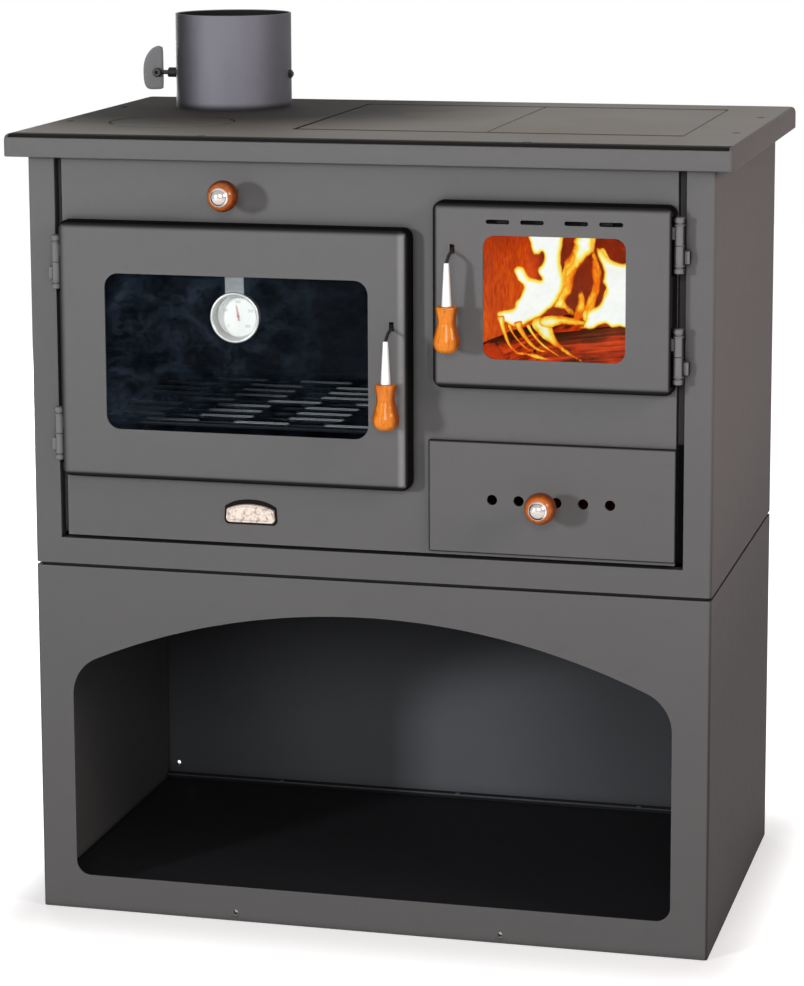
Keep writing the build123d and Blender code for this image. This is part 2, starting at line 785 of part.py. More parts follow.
def knob_stem(x, z, y_knob, y_end):
    """The stem through a ball knob, with the domed cap on its front end."""
    face = y_knob - knob_half_length
    dome_radius = (knob_cap_radius ** 2 + knob_cap_height ** 2) / (2 * knob_cap_height)
    dome = Pos(x, face - knob_cap_height + dome_radius, z) * Sphere(dome_radius)
    dome &= block(x - knob_cap_radius, x + knob_cap_radius, face - knob_cap_height, face,
                  z - knob_cap_radius, z + knob_cap_radius)
    return dome + along_y(knob_stem_radius, x, face, y_end, z)


def make_bypass():
    y_knob = front - knob_proud
    rear_face = partition_y + partition_thickness
    plate_y = rear_face + bypass_travel + seat_gap
    end_nut = 5.0
    rod_end = plate_y + bypass_plate_thickness + end_nut
    rod = knob_stem(bypass_x, bypass_z, y_knob, rod_end)
    rod += along_y(knob_stem_radius + 3, bypass_x, plate_y + bypass_plate_thickness, rod_end, bypass_z)
    keep("bypass_rod", rod)
    half = bypass_plate_width / 2
    half_high = bypass_plate_height / 2
    plate = block(bypass_x - half, bypass_x + half, plate_y, plate_y + bypass_plate_thickness,
                  bypass_z - half_high, bypass_z + half_high)
    plate -= along_y(knob_stem_radius + press_clearance, bypass_x, plate_y - 1,
                     plate_y + bypass_plate_thickness + 1, bypass_z)
    keep("bypass_plate", plate)
    keep("bypass_knob", ball_knob(bypass_x, y_knob, bypass_z))


make_bypass()


# ---------------------------------------------------------------- firebox
fire_floor = ash_front_top + fire_floor_rise
fire_inner_floor = fire_floor + fire_shell_wall
fire_back = front + sheet + fire_depth
fire_inner_left = fire_shell_left + fire_shell_wall
fire_inner_right = fire_shell_right - fire_shell_wall
brick_front = front + sheet + brick_front_gap
brick_top = fire_inner_floor + brick_height
hearth_left = fire_inner_left + brick_thickness + seat_gap
hearth_right = fire_inner_right - brick_thickness - seat_gap
hearth_back = fire_back - fire_shell_wall - brick_thickness - seat_gap
grate_lap = 15.0
grate_front = brick_front + grate_front_gap
grate_back = hearth_back - grate_back_gap


def make_firebox():
    shell = block(fire_shell_left, fire_shell_right, front + sheet, fire_back, fire_floor, fire_shell_top)
    shell -= block(fire_inner_left, fire_inner_right, front, fire_back - fire_shell_wall,
                   fire_inner_floor, fire_shell_top + 1)
    gas_edge = 40.0
    shell -= block(fire_shell_left - 1, fire_inner_left + 1, brick_front + gas_edge,
                   partition_y - gas_edge / 4, brick_top + grate_lap, fire_shell_top - grate_lap)
    shell -= block(hearth_left + grate_lap, hearth_right - grate_lap, grate_front + grate_lap,
                   grate_back - grate_lap, fire_floor - 1, fire_inner_floor + 1)
    bridge_half = bridge_width / 2 + seat_gap
    shell -= block(insert_mid - bridge_half, insert_mid + bridge_half, fire_back - 2 * fire_shell_wall,
                   fire_back + 1, plate_bottom - bridge_depth - seat_gap, fire_shell_top + 1)
    shell -= block(fire_shell_left - 1, fire_shell_right + 1, front, front + sheet + turn_in + seat_gap,
                   panel_top - seat_gap, fire_shell_top + 1)
    keep("firebox_shell", shell)

    side_back = fire_back - fire_shell_wall - seat_gap
    left = block(fire_inner_left + seat_gap, hearth_left - seat_gap, brick_front, side_back,
                 fire_inner_floor, brick_top)
    right = block(hearth_right + seat_gap, fire_inner_right - seat_gap, brick_front, side_back,
                  fire_inner_floor, brick_top)
    rear = block(hearth_left, hearth_right, hearth_back + seat_gap, side_back, fire_inner_floor, brick_top)
    sill_back = front + sheet + fire_sill_thickness
    sill = block(fire_inner_left + seat_gap, fire_inner_right - seat_gap, front + sheet + seat_gap,
                 sill_back, fire_inner_floor, fire_inner_floor + fire_sill_height)
    keep("fire_bricks", left, right, rear, sill)

    x0 = hearth_left + seat_gap + 5
    x1 = hearth_right - seat_gap - 5
    grate = block(x0, x1, grate_front, grate_back, fire_inner_floor, fire_inner_floor + grate_thickness)
    pitch = (x1 - x0 - 2 * grate_lap) / grate_slots
    slots = Sketch()
    for index in range(grate_slots):
        x = x0 + grate_lap + (index + 0.5) * pitch
        for half in (-1, 1):
            span = (grate_back - grate_front) / 2 - 2 * grate_lap
            y = (grate_front + grate_back) / 2 + half * (span + grate_lap) / 2
            slots += Pos(x, y) * SlotOverall(span, grate_slot_width, rotation=90)
    grate -= standing(slots, fire_inner_floor - 1, fire_inner_floor + grate_thickness + 1)
    keep("grate", grate)


make_firebox()


def make_logs():
    """Two split logs along the grate and one lying across them."""
    bed = fire_inner_floor + grate_thickness + seat_gap
    middle = (hearth_left + hearth_right) / 2
    y_middle = (grate_front + grate_back) / 2
    logs = []
    for side, turn in ((-1, 4.0), (1, -5.0)):
        log = Cylinder(log_radius, log_length)
        log -= Pos(log_radius * 0.75, 0, 0) * Box(log_radius, 2 * log_radius, log_length)
        log = chamfer(log.faces().filter_by(Plane.XY).edges(), 2.0)
        place = Pos(middle + side * log_spread, y_middle, bed + log_radius)
        logs.append(place * Rot(0, 0, turn) * Rot(90, 0, 0) * Rot(0, 0, 90 - side * 40) * log)
    top = chamfer(Cylinder(top_log_radius, top_log_length).faces().filter_by(Plane.XY).edges(), 2.0)
    z = bed + 2 * log_radius + top_log_radius + seat_gap - top_log_nest
    logs.append(Pos(middle, y_middle - top_log_forward, z) * Rot(0, 0, 18) * Rot(0, 90, 0) * top)
    keep("fire_logs", *logs)


make_logs()


# ---------------------------------------------------------------- ash drawer
chamber_left = ash_open[0] - 2 * ash_chamber_wall
chamber_right = ash_open[1] + 2 * ash_chamber_wall
chamber_floor = ash_open[2] + 1.0
ash_y0 = front - ash_front_gap
ash_box_back = ash_y0 + ash_box_length
chamber_back = ash_box_back + 12.0


def make_ash_drawer():
    wall = ash_chamber_wall
    legs_front = front + sheet + turn_in + seat_gap
    chamber = block(chamber_left, chamber_right, front + sheet, chamber_back, chamber_floor - wall,
                    fire_floor)
    chamber += block(chamber_left, chamber_right, legs_front, chamber_back, casing_bottom,
                     chamber_floor - wall)
    chamber -= block(chamber_left + wall, chamber_right - wall, front, chamber_back - wall,
                     chamber_floor, fire_floor + 1)
    chamber -= block(chamber_left + wall, chamber_right - wall, front, chamber_back - wall,
                     casing_bottom - 1, chamber_floor - wall)
    keep("ash_chamber", chamber)

    t = ash_box_sheet
    x0 = ash_open[0] + ash_box_side_gap
    x1 = ash_open[1] - ash_box_side_gap
    z0 = chamber_floor + seat_gap
    z1 = z0 + ash_box_height
    box = block(x0, x1, ash_y0, ash_box_back, z0, z1)
    box -= block(x0 + t, x1 - t, ash_y0 - 1, ash_box_back + 1, z0 + t, z1 + 1)
    front_end = block(x0 + t, x1 - t, ash_y0, ash_y0 + t, z0 + t, z1)
    back_end = block(x0 + t, x1 - t, ash_box_back - t, ash_box_back, z0 + t, z1)
    plate = facing(outline(ash_front_left, ash_front_right, ash_front_bottom, ash_front_top, 1.5),
                   ash_y0 - ash_front_thickness, ash_y0)
    plate = chamfer(plate.faces().sort_by(Axis.Y)[0].edges(), 0.6)
    hole_z = ash_front_bottom + air_hole_height
    stem_x = ash_centre + ash_knob_shift
    for place in air_hole_places:
        cutter = along_y(air_hole_radius, ash_centre + place, ash_y0 - 2 * ash_front_thickness,
                         ash_y0 + 2 * t, hole_z)
        front_end -= cutter
        plate -= cutter
    bore = along_y(knob_stem_radius + press_clearance, stem_x, ash_y0 - 2 * ash_front_thickness,
                   ash_y0 + 2 * t, hole_z)
    keep("ash_box", box)
    keep("ash_box_ends", front_end - bore, back_end)
    keep("ash_front", plate - bore)
    y_knob = ash_y0 - ash_front_thickness - knob_proud
    nut = 4.0
    stem = knob_stem(stem_x, hole_z, y_knob, ash_y0 + t + nut)
    stem += along_y(knob_stem_radius + 3, stem_x, ash_y0 + t, ash_y0 + t + nut, hole_z)
    keep("ash_knob_stem", stem)
    keep("ash_knob", ball_knob(stem_x, y_knob, hole_z))


make_ash_drawer()


# ---------------------------------------------------------------- hinges
hinge_y = front - hinge_axis_proud
pin_below = 20.0
pin_above = 22.0
knuckle_split = 0.3
cap_height = 5.0
ring_height = 1.4
ring_gap = 2.0
lug_low = 6.0
lug_high = 20.0
lug_thickness = 8.0
leaf_plate_reach = 3.0


def knuckle(x, z, up):
    """Half a hinge barrel above (up = 1) or below (up = -1) the split."""
    near = z + up * knuckle_split / 2
    far = z + up * hinge_length / 2
    low, high = sorted((near, far))
    body = along_z(knuckle_radius, x, hinge_y, low, high)
    low, high = sorted((far, far - up * cap_height))
    cap = along_z(knuckle_cap_radius, x, hinge_y, low, high)
    end = cap.faces().filter_by(Plane.XY).sort_by(Axis.Z)[-1 if up > 0 else 0]
    body += chamfer(end.edges(), 1.2)
    edge = far - up * (cap_height + ring_gap)
    low, high = sorted((edge, edge - up * ring_height))
    return body + along_z(knuckle_cap_radius, x, hinge_y, low, high)


def hinge_post(x, z, outboard):
    """The half fixed to the casing, with its pin and its lug on the flange."""
    post = knuckle(x, z, -1) + along_z(hinge_pin_radius, x, hinge_y, z - pin_below, z + pin_above)
    reach = knuckle_radius + hinge_axis_offset + lug_low
    near, far = sorted((x + outboard * hinge_pin_radius, x + outboard * reach))
    lug = block(near, far, hinge_y + hinge_axis_proud - lug_thickness, front, z - lug_high, z - lug_low)
    edge = far if outboard > 0 else near
    outer = [e for e in lug.edges().filter_by(Axis.Z)
             if abs(e.center().X - edge) < 0.01 and e.center().Y < front - 1]
    return post + fillet(outer, 3.0)


def hinge_leaf(x, z, inboard):
    """The half on the door, with its lug and the plate behind the notch."""
    leaf = knuckle(x, z, 1)
    notch_x = x + inboard * (knuckle_cap_radius + hinge_notch_clearance)
    near, far = sorted((x + inboard * hinge_pin_radius, notch_x + inboard * 1.0))
    leaf += block(near, far, hinge_y - lug_thickness / 2, hinge_y + lug_thickness / 2,
                  z + lug_low, z + lug_high)
    near, far = sorted((notch_x, notch_x + inboard * 2.0))
    half = hinge_length / 2 + leaf_plate_reach
    leaf += block(near, far, door_face + door_sheet + 3.3, door_back - inner_panel_sheet - 1.8,
                  z - half, z + half)
    return leaf - along_z(hinge_pin_radius + pin_clearance, x, hinge_y, z - 1, z + pin_above + 1)


def hinge_heights(bottom, top, inset):
    return (bottom + inset, top - inset)


oven_hinge_x = oven_door_left - hinge_axis_offset
fire_hinge_x = fire_door_right + hinge_axis_offset
oven_hinges = hinge_heights(oven_door_bottom, oven_door_top, oven_hinge_inset)
fire_hinges = hinge_heights(fire_door_bottom, fire_door_top, fire_hinge_inset)
keep("hinge_posts", *[hinge_post(oven_hinge_x, z, -1) for z in oven_hinges],
     *[hinge_post(fire_hinge_x, z, 1) for z in fire_hinges])
keep("oven_hinge_leaves", *[hinge_leaf(oven_hinge_x, z, 1) for z in oven_hinges])
keep("fire_hinge_leaves", *[hinge_leaf(fire_hinge_x, z, -1) for z in fire_hinges])


# ---------------------------------------------------------------- doors
latch_y = front - latch_pivot_proud
glass_front = door_face + door_sheet + gasket_thickness
glass_back = glass_front + glass_thickness
inner_back = front - inner_panel_depth
inner_front = inner_back - inner_panel_sheet
slot_half_width = latch_rod_radius + 0.8
slot_low = 3.4
slot_high = 6.2


def door_block(box, inset, y0, y1, round_edge):
    """A door-shaped solid inset from the door's outline, its front edges rounded."""
    x0, x1, z0, z1 = box
    shape = outline(x0 + inset, x1 - inset, z0 + inset, z1 - inset, max(door_corner - inset, 1.0))
    solid = facing(shape, y0, y1)
    if round_edge > 0:
        solid = fillet(solid.faces().sort_by(Axis.Y)[0].edges(), round_edge)
    return solid


def band(box, inset, width, y0, y1, corner):
    """A flat rounded frame facing the front."""
    x0, x1, z0, z1 = (box[0] + inset, box[1] - inset, box[2] + inset, box[3] - inset)
    outer = outline(x0, x1, z0, z1, corner)
    inner = outline(x0 + width, x1 - width, z0 + width, z1 - width, max(corner - width, 1.5))
    return facing(outer - inner, y0, y1)


def grown(box, by):
    return (box[0] - by, box[1] + by, box[2] - by, box[3] + by)


def make_door(box, window, window_corner, latch, hinge_x, hinges, clip_places):
    shell = door_block(box, 0, door_face, door_back, door_round)
    shell -= door_block(box, door_sheet, door_face + door_sheet, door_back + 1,
                        door_round - door_sheet)
    cut = facing(outline(*window, window_corner), door_face - 1, door_face + 2 * door_sheet)
    shell -= cut
    x, z = latch
    shell -= block(x - slot_half_width, x + slot_half_width, door_face - 1,
                   door_face + 2 * door_sheet, z - slot_low, z + slot_high)
    inward = 1 if hinge_x < (box[0] + box[1]) / 2 else -1
    reach = knuckle_cap_radius + hinge_notch_clearance
    near, far = sorted((hinge_x, hinge_x + inward * reach))
    for hinge_z in hinges:
        half = hinge_length / 2 + 1.5
        shell -= block(near, far, door_face - 1, door_back + 1, hinge_z - half, hinge_z + half)

    inner = facing(outline(box[0] + door_sheet + seat_gap, box[1] - door_sheet - seat_gap,
                           box[2] + door_sheet + seat_gap, box[3] - door_sheet - seat_gap,
                           door_corner - door_sheet - seat_gap), inner_front, inner_back)
    inner -= facing(outline(*grown(window, 8.0), window_corner), inner_front - 1, inner_back + 1)
    inner -= block(x - latch_hub_width, x + latch_hub_width, inner_front - 1, inner_back + 1,
                   z - latch_hole_low, z + latch_hole_high)
    glass_box = grown(window, glass_lap)
    glass = facing(outline(*glass_box, 4.0), glass_front, glass_back)
    gasket = band(glass_box, 1.0, glass_lap - 2.0, door_face + door_sheet, glass_front, 5.0)
    rope = band(box, 4.5, 6.5, inner_back, front - seat_gap, door_corner - 4.5)

    fixings = []
    clip_half = 8.0
    foot = 4.0
    lap = 8.0
    for clip_x in clip_places:
        for edge, up in ((glass_box[3], 1), (glass_box[2], -1)):
            z0, z1 = sorted((edge + up * seat_gap, edge + up * (seat_gap + foot)))
            clip = block(clip_x - clip_half, clip_x + clip_half, door_face + door_sheet,
                         glass_back + 2.0, z0, z1)
            z0, z1 = sorted((edge - up * lap, edge + up * (seat_gap + foot)))
            clip += block(clip_x - clip_half, clip_x + clip_half, glass_back, glass_back + 2.0, z0, z1)
            fixings.append(clip)
    post_inset = 24.0
    for post_x in (box[0] + post_inset, box[1] - post_inset):
        for post_z in (box[2] + post_inset / 1.6, box[3] - post_inset / 1.6):
            fixings.append(along_y(4.0, post_x, door_face + door_sheet, inner_front, post_z))
    ear = 2.0
    ear_in = latch_hub_width / 2 + seat_gap
    bracket = along_x(latch_pin_radius, x - ear_in - ear, x + ear_in + ear, latch_y, z)
    for side in (-1, 1):
        near, far = sorted((x + side * ear_in, x + side * (ear_in + ear)))
        bracket += block(near, far, door_face + door_sheet, latch_y + 4.0, z - 6.0, z + 6.0)
    fixings.append(bracket)
    return shell, inner, glass, (gasket, rope), fixings


def window_in(box, margins):
    """The window's edges, from the door's edges and the steel left round it."""
    left, right, below, above = margins
    return (box[0] + left, box[1] - right, box[2] + below, box[3] - above)


oven_box = (oven_door_left, oven_door_right, oven_door_bottom, oven_door_top)
fire_box = (fire_door_left, fire_door_right, fire_door_bottom, fire_door_top)
oven_window = window_in(oven_box, oven_window_margins)
fire_window = window_in(fire_box, fire_window_margins)
oven_window_centre = (oven_window[0] + oven_window[1]) / 2
fire_window_centre = (fire_window[0] + fire_window[1]) / 2
oven_latch = (oven_door_right - oven_latch_inset, oven_door_bottom + oven_latch_height)
fire_latch = (fire_door_left + fire_latch_inset, fire_door_bottom + fire_latch_height)


def make_doors():
    width = oven_window[1] - oven_window[0]
    clips = [oven_window_centre + share * width for share in (-0.4, -0.15, 0.15, 0.4)]
    shell, inner, glass, seals, fixings = make_door(
        oven_box, oven_window, oven_window_corner, oven_latch, oven_hinge_x, oven_hinges, clips)
    keep("oven_door_shell", shell)
    keep("oven_door_inner", inner)
    keep("oven_glass", glass)
    keep("oven_door_seals", *seals)
    keep("oven_door_fixings", *fixings)

    width = fire_window[1] - fire_window[0]
    clips = [fire_window_centre + share * width for share in (-0.35, 0.35)]
    shell, inner, glass, seals, fixings = make_door(
        fire_box, fire_window, fire_window_corner, fire_latch, fire_hinge_x, fire_hinges, clips)
    z = fire_window[3] + air_slot_rise
    for place in (-air_slot_outer, -air_slot_inner, air_slot_inner, air_slot_outer):
        slot = Pos(fire_window_centre + place, z) * SlotOverall(air_slot_length, air_slot_height)
        shell -= facing(slot, door_face - 1, door_face + 2 * door_sheet)
    keep("fire_door_shell", shell)
    keep("fire_door_inner", inner)
    keep("fire_glass", glass)
    keep("fire_door_seals", *seals)
    keep("fire_door_fixings", *fixings)


make_doors()


# ---------------------------------------------------------------- latches
def latch_rod_path(x, z):
    y = latch_y
    bend = 5.0
    outer = front - handle_proud
    top = z - handle_drop
    points = [(x, y, z), (x, y - 14.0, z - 1.4), (x, outer + 9.0, z - 4.0), (x, outer, top)]
    return FilletPolyline(*points, radius=bend)


def make_latch(prefix, place):
    x, z = place
    arm = along_x(latch_hub_radius, x - latch_hub_width / 2, x + latch_hub_width / 2, latch_y, z)
    tip = front + latch_reach
    arm_half = 1.5
    arm += block(x - arm_half, x + arm_half, latch_y, tip, z - 3.0, z + 1.0)
    arm += block(x - arm_half, x + arm_half, tip - 3.0, tip, z - 3.0, z + 4.0)
    path = latch_rod_path(x, z)
    start = path @ 0
    section = Plane(origin=start, z_dir=path % 0) * Circle(latch_rod_radius)
    rod = sweep(section, path=path)
    arm += rod
    arm += Pos(*(path @ 1)) * Sphere(latch_rod_radius)
    arm -= along_x(latch_pin_radius + pin_clearance, x - latch_hub_width, x + latch_hub_width,
                   latch_y, z)
    y = front - handle_proud
    cone_top = z - handle_drop
    cone_bottom = cone_top - cone_length
    cone = Pos(x, y, (cone_top + cone_bottom) / 2) * Cone(cone_bottom_radius, cone_top_radius, cone_length)
    cone -= arm
    keep(prefix + "_latch_arm", arm)
    keep(prefix + "_handle_cone", cone)

    grip_top = cone_bottom - seat_gap / 2
    length = grip_length
    outer = Spline((0.80 * grip_neck_radius, 0), (grip_neck_radius, -0.05 * length),
                   (grip_waist_radius, -0.30 * length), (grip_bulb_radius, -0.74 * length),
                   (0.45 * grip_bulb_radius, -length))
    edge = Line((0, 0), outer @ 0) + outer + Line(outer @ 1, (0, -length)) + Line((0, -length), (0, 0))
    profile = Plane.XZ * make_face(edge)
    grip = Pos(x, y, grip_top) * revolve(profile, Axis.Z)
    keep(prefix + "_handle_grip", grip)


make_latch("oven", oven_latch)
make_latch("fire", fire_latch)


def make_keepers():
    """Blocks inside the openings that the latch noses close under."""
    z = oven_latch[1] + 4.8
    wall = oven_open[1]
    oven_keeper = block(oven_latch[0] - 2, wall, front + 5, front + 11, z, z + 8)
    z = fire_latch[1] + 4.8
    foot = block(fire_open[0] - 6, fire_open[0], front + sheet, front + 11, z, z + 8)
    fire_keeper = foot + block(fire_open[0] - 6, fire_latch[0] + 2, front + 5, front + 11, z, z + 8)
    keep("latch_keepers", oven_keeper, fire_keeper)


make_keepers()


# ---------------------------------------------------------------- thermometer
thermo_x = oven_window_centre + thermo_from_window_centre
thermo_z = oven_window[3] - thermo_below_window_top
thermo_front = glass_back + 0.8
thermo_dial_y = thermo_front + thermo_depth - 2.5


def make_thermometer():
    case = along_y(thermo_radius, thermo_x, thermo_front, thermo_front + thermo_depth, thermo_z)
    case -= along_y(thermo_radius - 1.7, thermo_x, thermo_front - 1, thermo_dial_y, thermo_z)
    case = case - Pos(thermo_x, thermo_front, thermo_z) * Rot(90, 0, 0) * Cone(
        thermo_radius - 1.9, thermo_radius - 0.9, 1.6)
    half = thermo_strap_width / 2
    top = oven_window[3] + 8.0
    strap_y = thermo_front + 1.0
    strap = block(thermo_x - half, thermo_x + half, strap_y, strap_y + 1,
                  thermo_z + thermo_radius - 2.5, top)
    strap += block(thermo_x - half, thermo_x + half, strap_y, inner_front, top - 1, top)
    strap += block(thermo_x - half, thermo_x + half, inner_front - 1, inner_front, top - 1, top + 10)
    strap -= along_y(thermo_radius - 0.5, thermo_x, thermo_front - 1, inner_front, thermo_z)
    keep("thermo_case", case + strap)
    keep("thermo_dial", along_y(thermo_radius - 2.0, thermo_x, thermo_dial_y - 0.8, thermo_dial_y, thermo_z))
    needle_y = thermo_dial_y - 0.8 - seat_gap
    pointer = Polyline((-1.4, -7), (1.4, -7), (0.5, thermo_radius - 7), (-0.5, thermo_radius - 7),
                       close=True)
    needle = facing(Pos(thermo_x, thermo_z) * (make_face(pointer) + Circle(2.6)),
                    needle_y - 0.8, needle_y)
    keep("thermo_needle", needle)


make_thermometer()


# ---------------------------------------------------------------- fasteners
def make_screws():
    heads = []
    for x, z in front_screw_places:
        heads.append(Pos(x, front, z) * Rot(90, 0, 0) * screw())
    for x in fold_screw_places:
        heads.append(Pos(x, fold_screw_y, back_fold_height + sheet) * screw())
    for z0, z1 in ((back_fold_height, base_height), (casing_bottom, panel_top)):
        for x, z in back_screw_places(z0, z1):
            heads.append(Pos(x, back, z) * Rot(-90, 0, 0) * screw())
    for x, y in hob_screw_places:
        heads.append(Pos(x, y, hob_top - screw_head_height) * screw())
    keep("case_screws", *heads)


make_screws()


for name, shape in parts.items():
    shape.label = name
    export_step(shape, f"parts/{name}.step")
print(len(parts), "sub-parts")
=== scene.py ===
"""The looks of a wood cookstove: paint, iron, wood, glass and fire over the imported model.

Metres throughout. X runs to the viewer's right, Y to the back, Z up.
"""

import json
import math
import random

import bmesh
import bpy
from mathutils import Matrix, Vector, geometry, noise


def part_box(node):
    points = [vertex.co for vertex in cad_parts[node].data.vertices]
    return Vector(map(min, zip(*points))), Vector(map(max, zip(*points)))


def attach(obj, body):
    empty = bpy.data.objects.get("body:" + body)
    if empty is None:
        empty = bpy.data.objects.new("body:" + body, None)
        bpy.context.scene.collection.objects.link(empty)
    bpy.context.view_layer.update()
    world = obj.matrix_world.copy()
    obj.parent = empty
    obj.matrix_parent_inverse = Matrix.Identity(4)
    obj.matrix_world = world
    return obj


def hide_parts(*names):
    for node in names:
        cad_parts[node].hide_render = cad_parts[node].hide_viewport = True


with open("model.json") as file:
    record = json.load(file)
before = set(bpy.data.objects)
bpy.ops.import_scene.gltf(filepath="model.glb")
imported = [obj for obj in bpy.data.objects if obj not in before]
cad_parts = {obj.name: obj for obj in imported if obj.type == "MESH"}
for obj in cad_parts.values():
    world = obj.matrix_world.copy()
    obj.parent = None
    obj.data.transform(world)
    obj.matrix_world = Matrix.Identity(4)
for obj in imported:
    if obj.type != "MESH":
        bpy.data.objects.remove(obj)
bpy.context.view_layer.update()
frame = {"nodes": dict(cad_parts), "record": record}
node = frame["nodes"]

MM = 0.001

# ---------------------------------------------------------------- sizes shared by the pieces
front_y = -220 * MM
hob_top = 850 * MM
door_face = -242 * MM
oven_latch_place = (36 * MM, -267 * MM, 648 * MM)
fire_latch_place = (100 * MM, -267 * MM, 730.5 * MM)
ferrule_length = 44.5 * MM
ferrule_top = 2.7 * MM
ferrule_foot = 5.2 * MM
grip_length = 46.5 * MM
grip_neck = 11.4 * MM
grip_waist = 9.4 * MM
grip_bulb = 13.8 * MM
cap_radius = 9.9 * MM
gauge_place = (-135 * MM, -233.9 * MM, 661.8 * MM)
gauge_depth = 15.5 * MM
dial_radius = 21.9 * MM
flue_place = (-244 * MM, 130 * MM)
damper_height = 888 * MM


# ---------------------------------------------------------------- node wiring
class Wire:
    """A value running between nodes. Sums and products of wires add Math nodes."""

    def __init__(self, tree, socket):
        self.tree = tree
        self.socket = socket

    def with_(self, operation, first, second=None):
        values = [first] if second is None else [first, second]
        return self.tree.add("ShaderNodeMath", {"operation": operation}, dict(enumerate(values)))

    def __add__(self, other):
        return self.with_("ADD", self, other)

    def __radd__(self, other):
        return self.with_("ADD", other, self)

    def __sub__(self, other):
        return self.with_("SUBTRACT", self, other)

    def __rsub__(self, other):
        return self.with_("SUBTRACT", other, self)

    def __mul__(self, other):
        return self.with_("MULTIPLY", self, other)

    def __rmul__(self, other):
        return self.with_("MULTIPLY", other, self)

    def __truediv__(self, other):
        return self.with_("DIVIDE", self, other)

    def __pow__(self, other):
        return self.with_("POWER", self, other)

    def or_(self, other):
        return self.with_("MAXIMUM", self, other)

    def size(self):
        return self.with_("ABSOLUTE", self)

    def clear_of(self, low, high):
        """0 below low, 1 above high, and a soft rise between them."""
        return self.tree.add(
            "ShaderNodeMapRange", {"interpolation_type": "SMOOTHSTEP"},
            {"Value": self, "From Min": low, "From Max": high, "To Min": 0.0, "To Max": 1.0})


class Tree:
    """A node tree, and the one way in which this script adds a node to it."""

    def __init__(self, tree):
        self.tree = tree
        tree.nodes.clear()

    def add(self, kind, settings=None, sockets=None, out=0):
        """Any node: its settings first, then the values or wires of its sockets."""
        made = self.tree.nodes.new(kind)
        for key, value in (settings or {}).items():
            if key == "stops":
                elements = made.color_ramp.elements
                while len(elements) < len(value):
                    elements.new(0.5)
                for element, (place, colour) in zip(elements, value):
                    element.position = place
                    element.color = (*colour, 1.0)
            else:
                setattr(made, key, value)
        for key, value in (sockets or {}).items():
            socket = self.find(made.inputs, key)
            if isinstance(value, list):
                for part in reversed(value):
                    self.tree.links.new(part.socket, socket)
            elif isinstance(value, Wire):
                self.tree.links.new(value.socket, socket)
            elif isinstance(value, tuple) and socket.type == "RGBA" and len(value) == 3:
                socket.default_value = (*value, 1.0)
            else:
                socket.default_value = value
        return Wire(self, self.find(made.outputs, out)) if len(made.outputs) else made

    @staticmethod
    def find(sockets, key):
        if isinstance(key, int):
            return sockets[key]
        for socket in sockets:
            if socket.identifier == key:
                return socket
        return sockets[key]


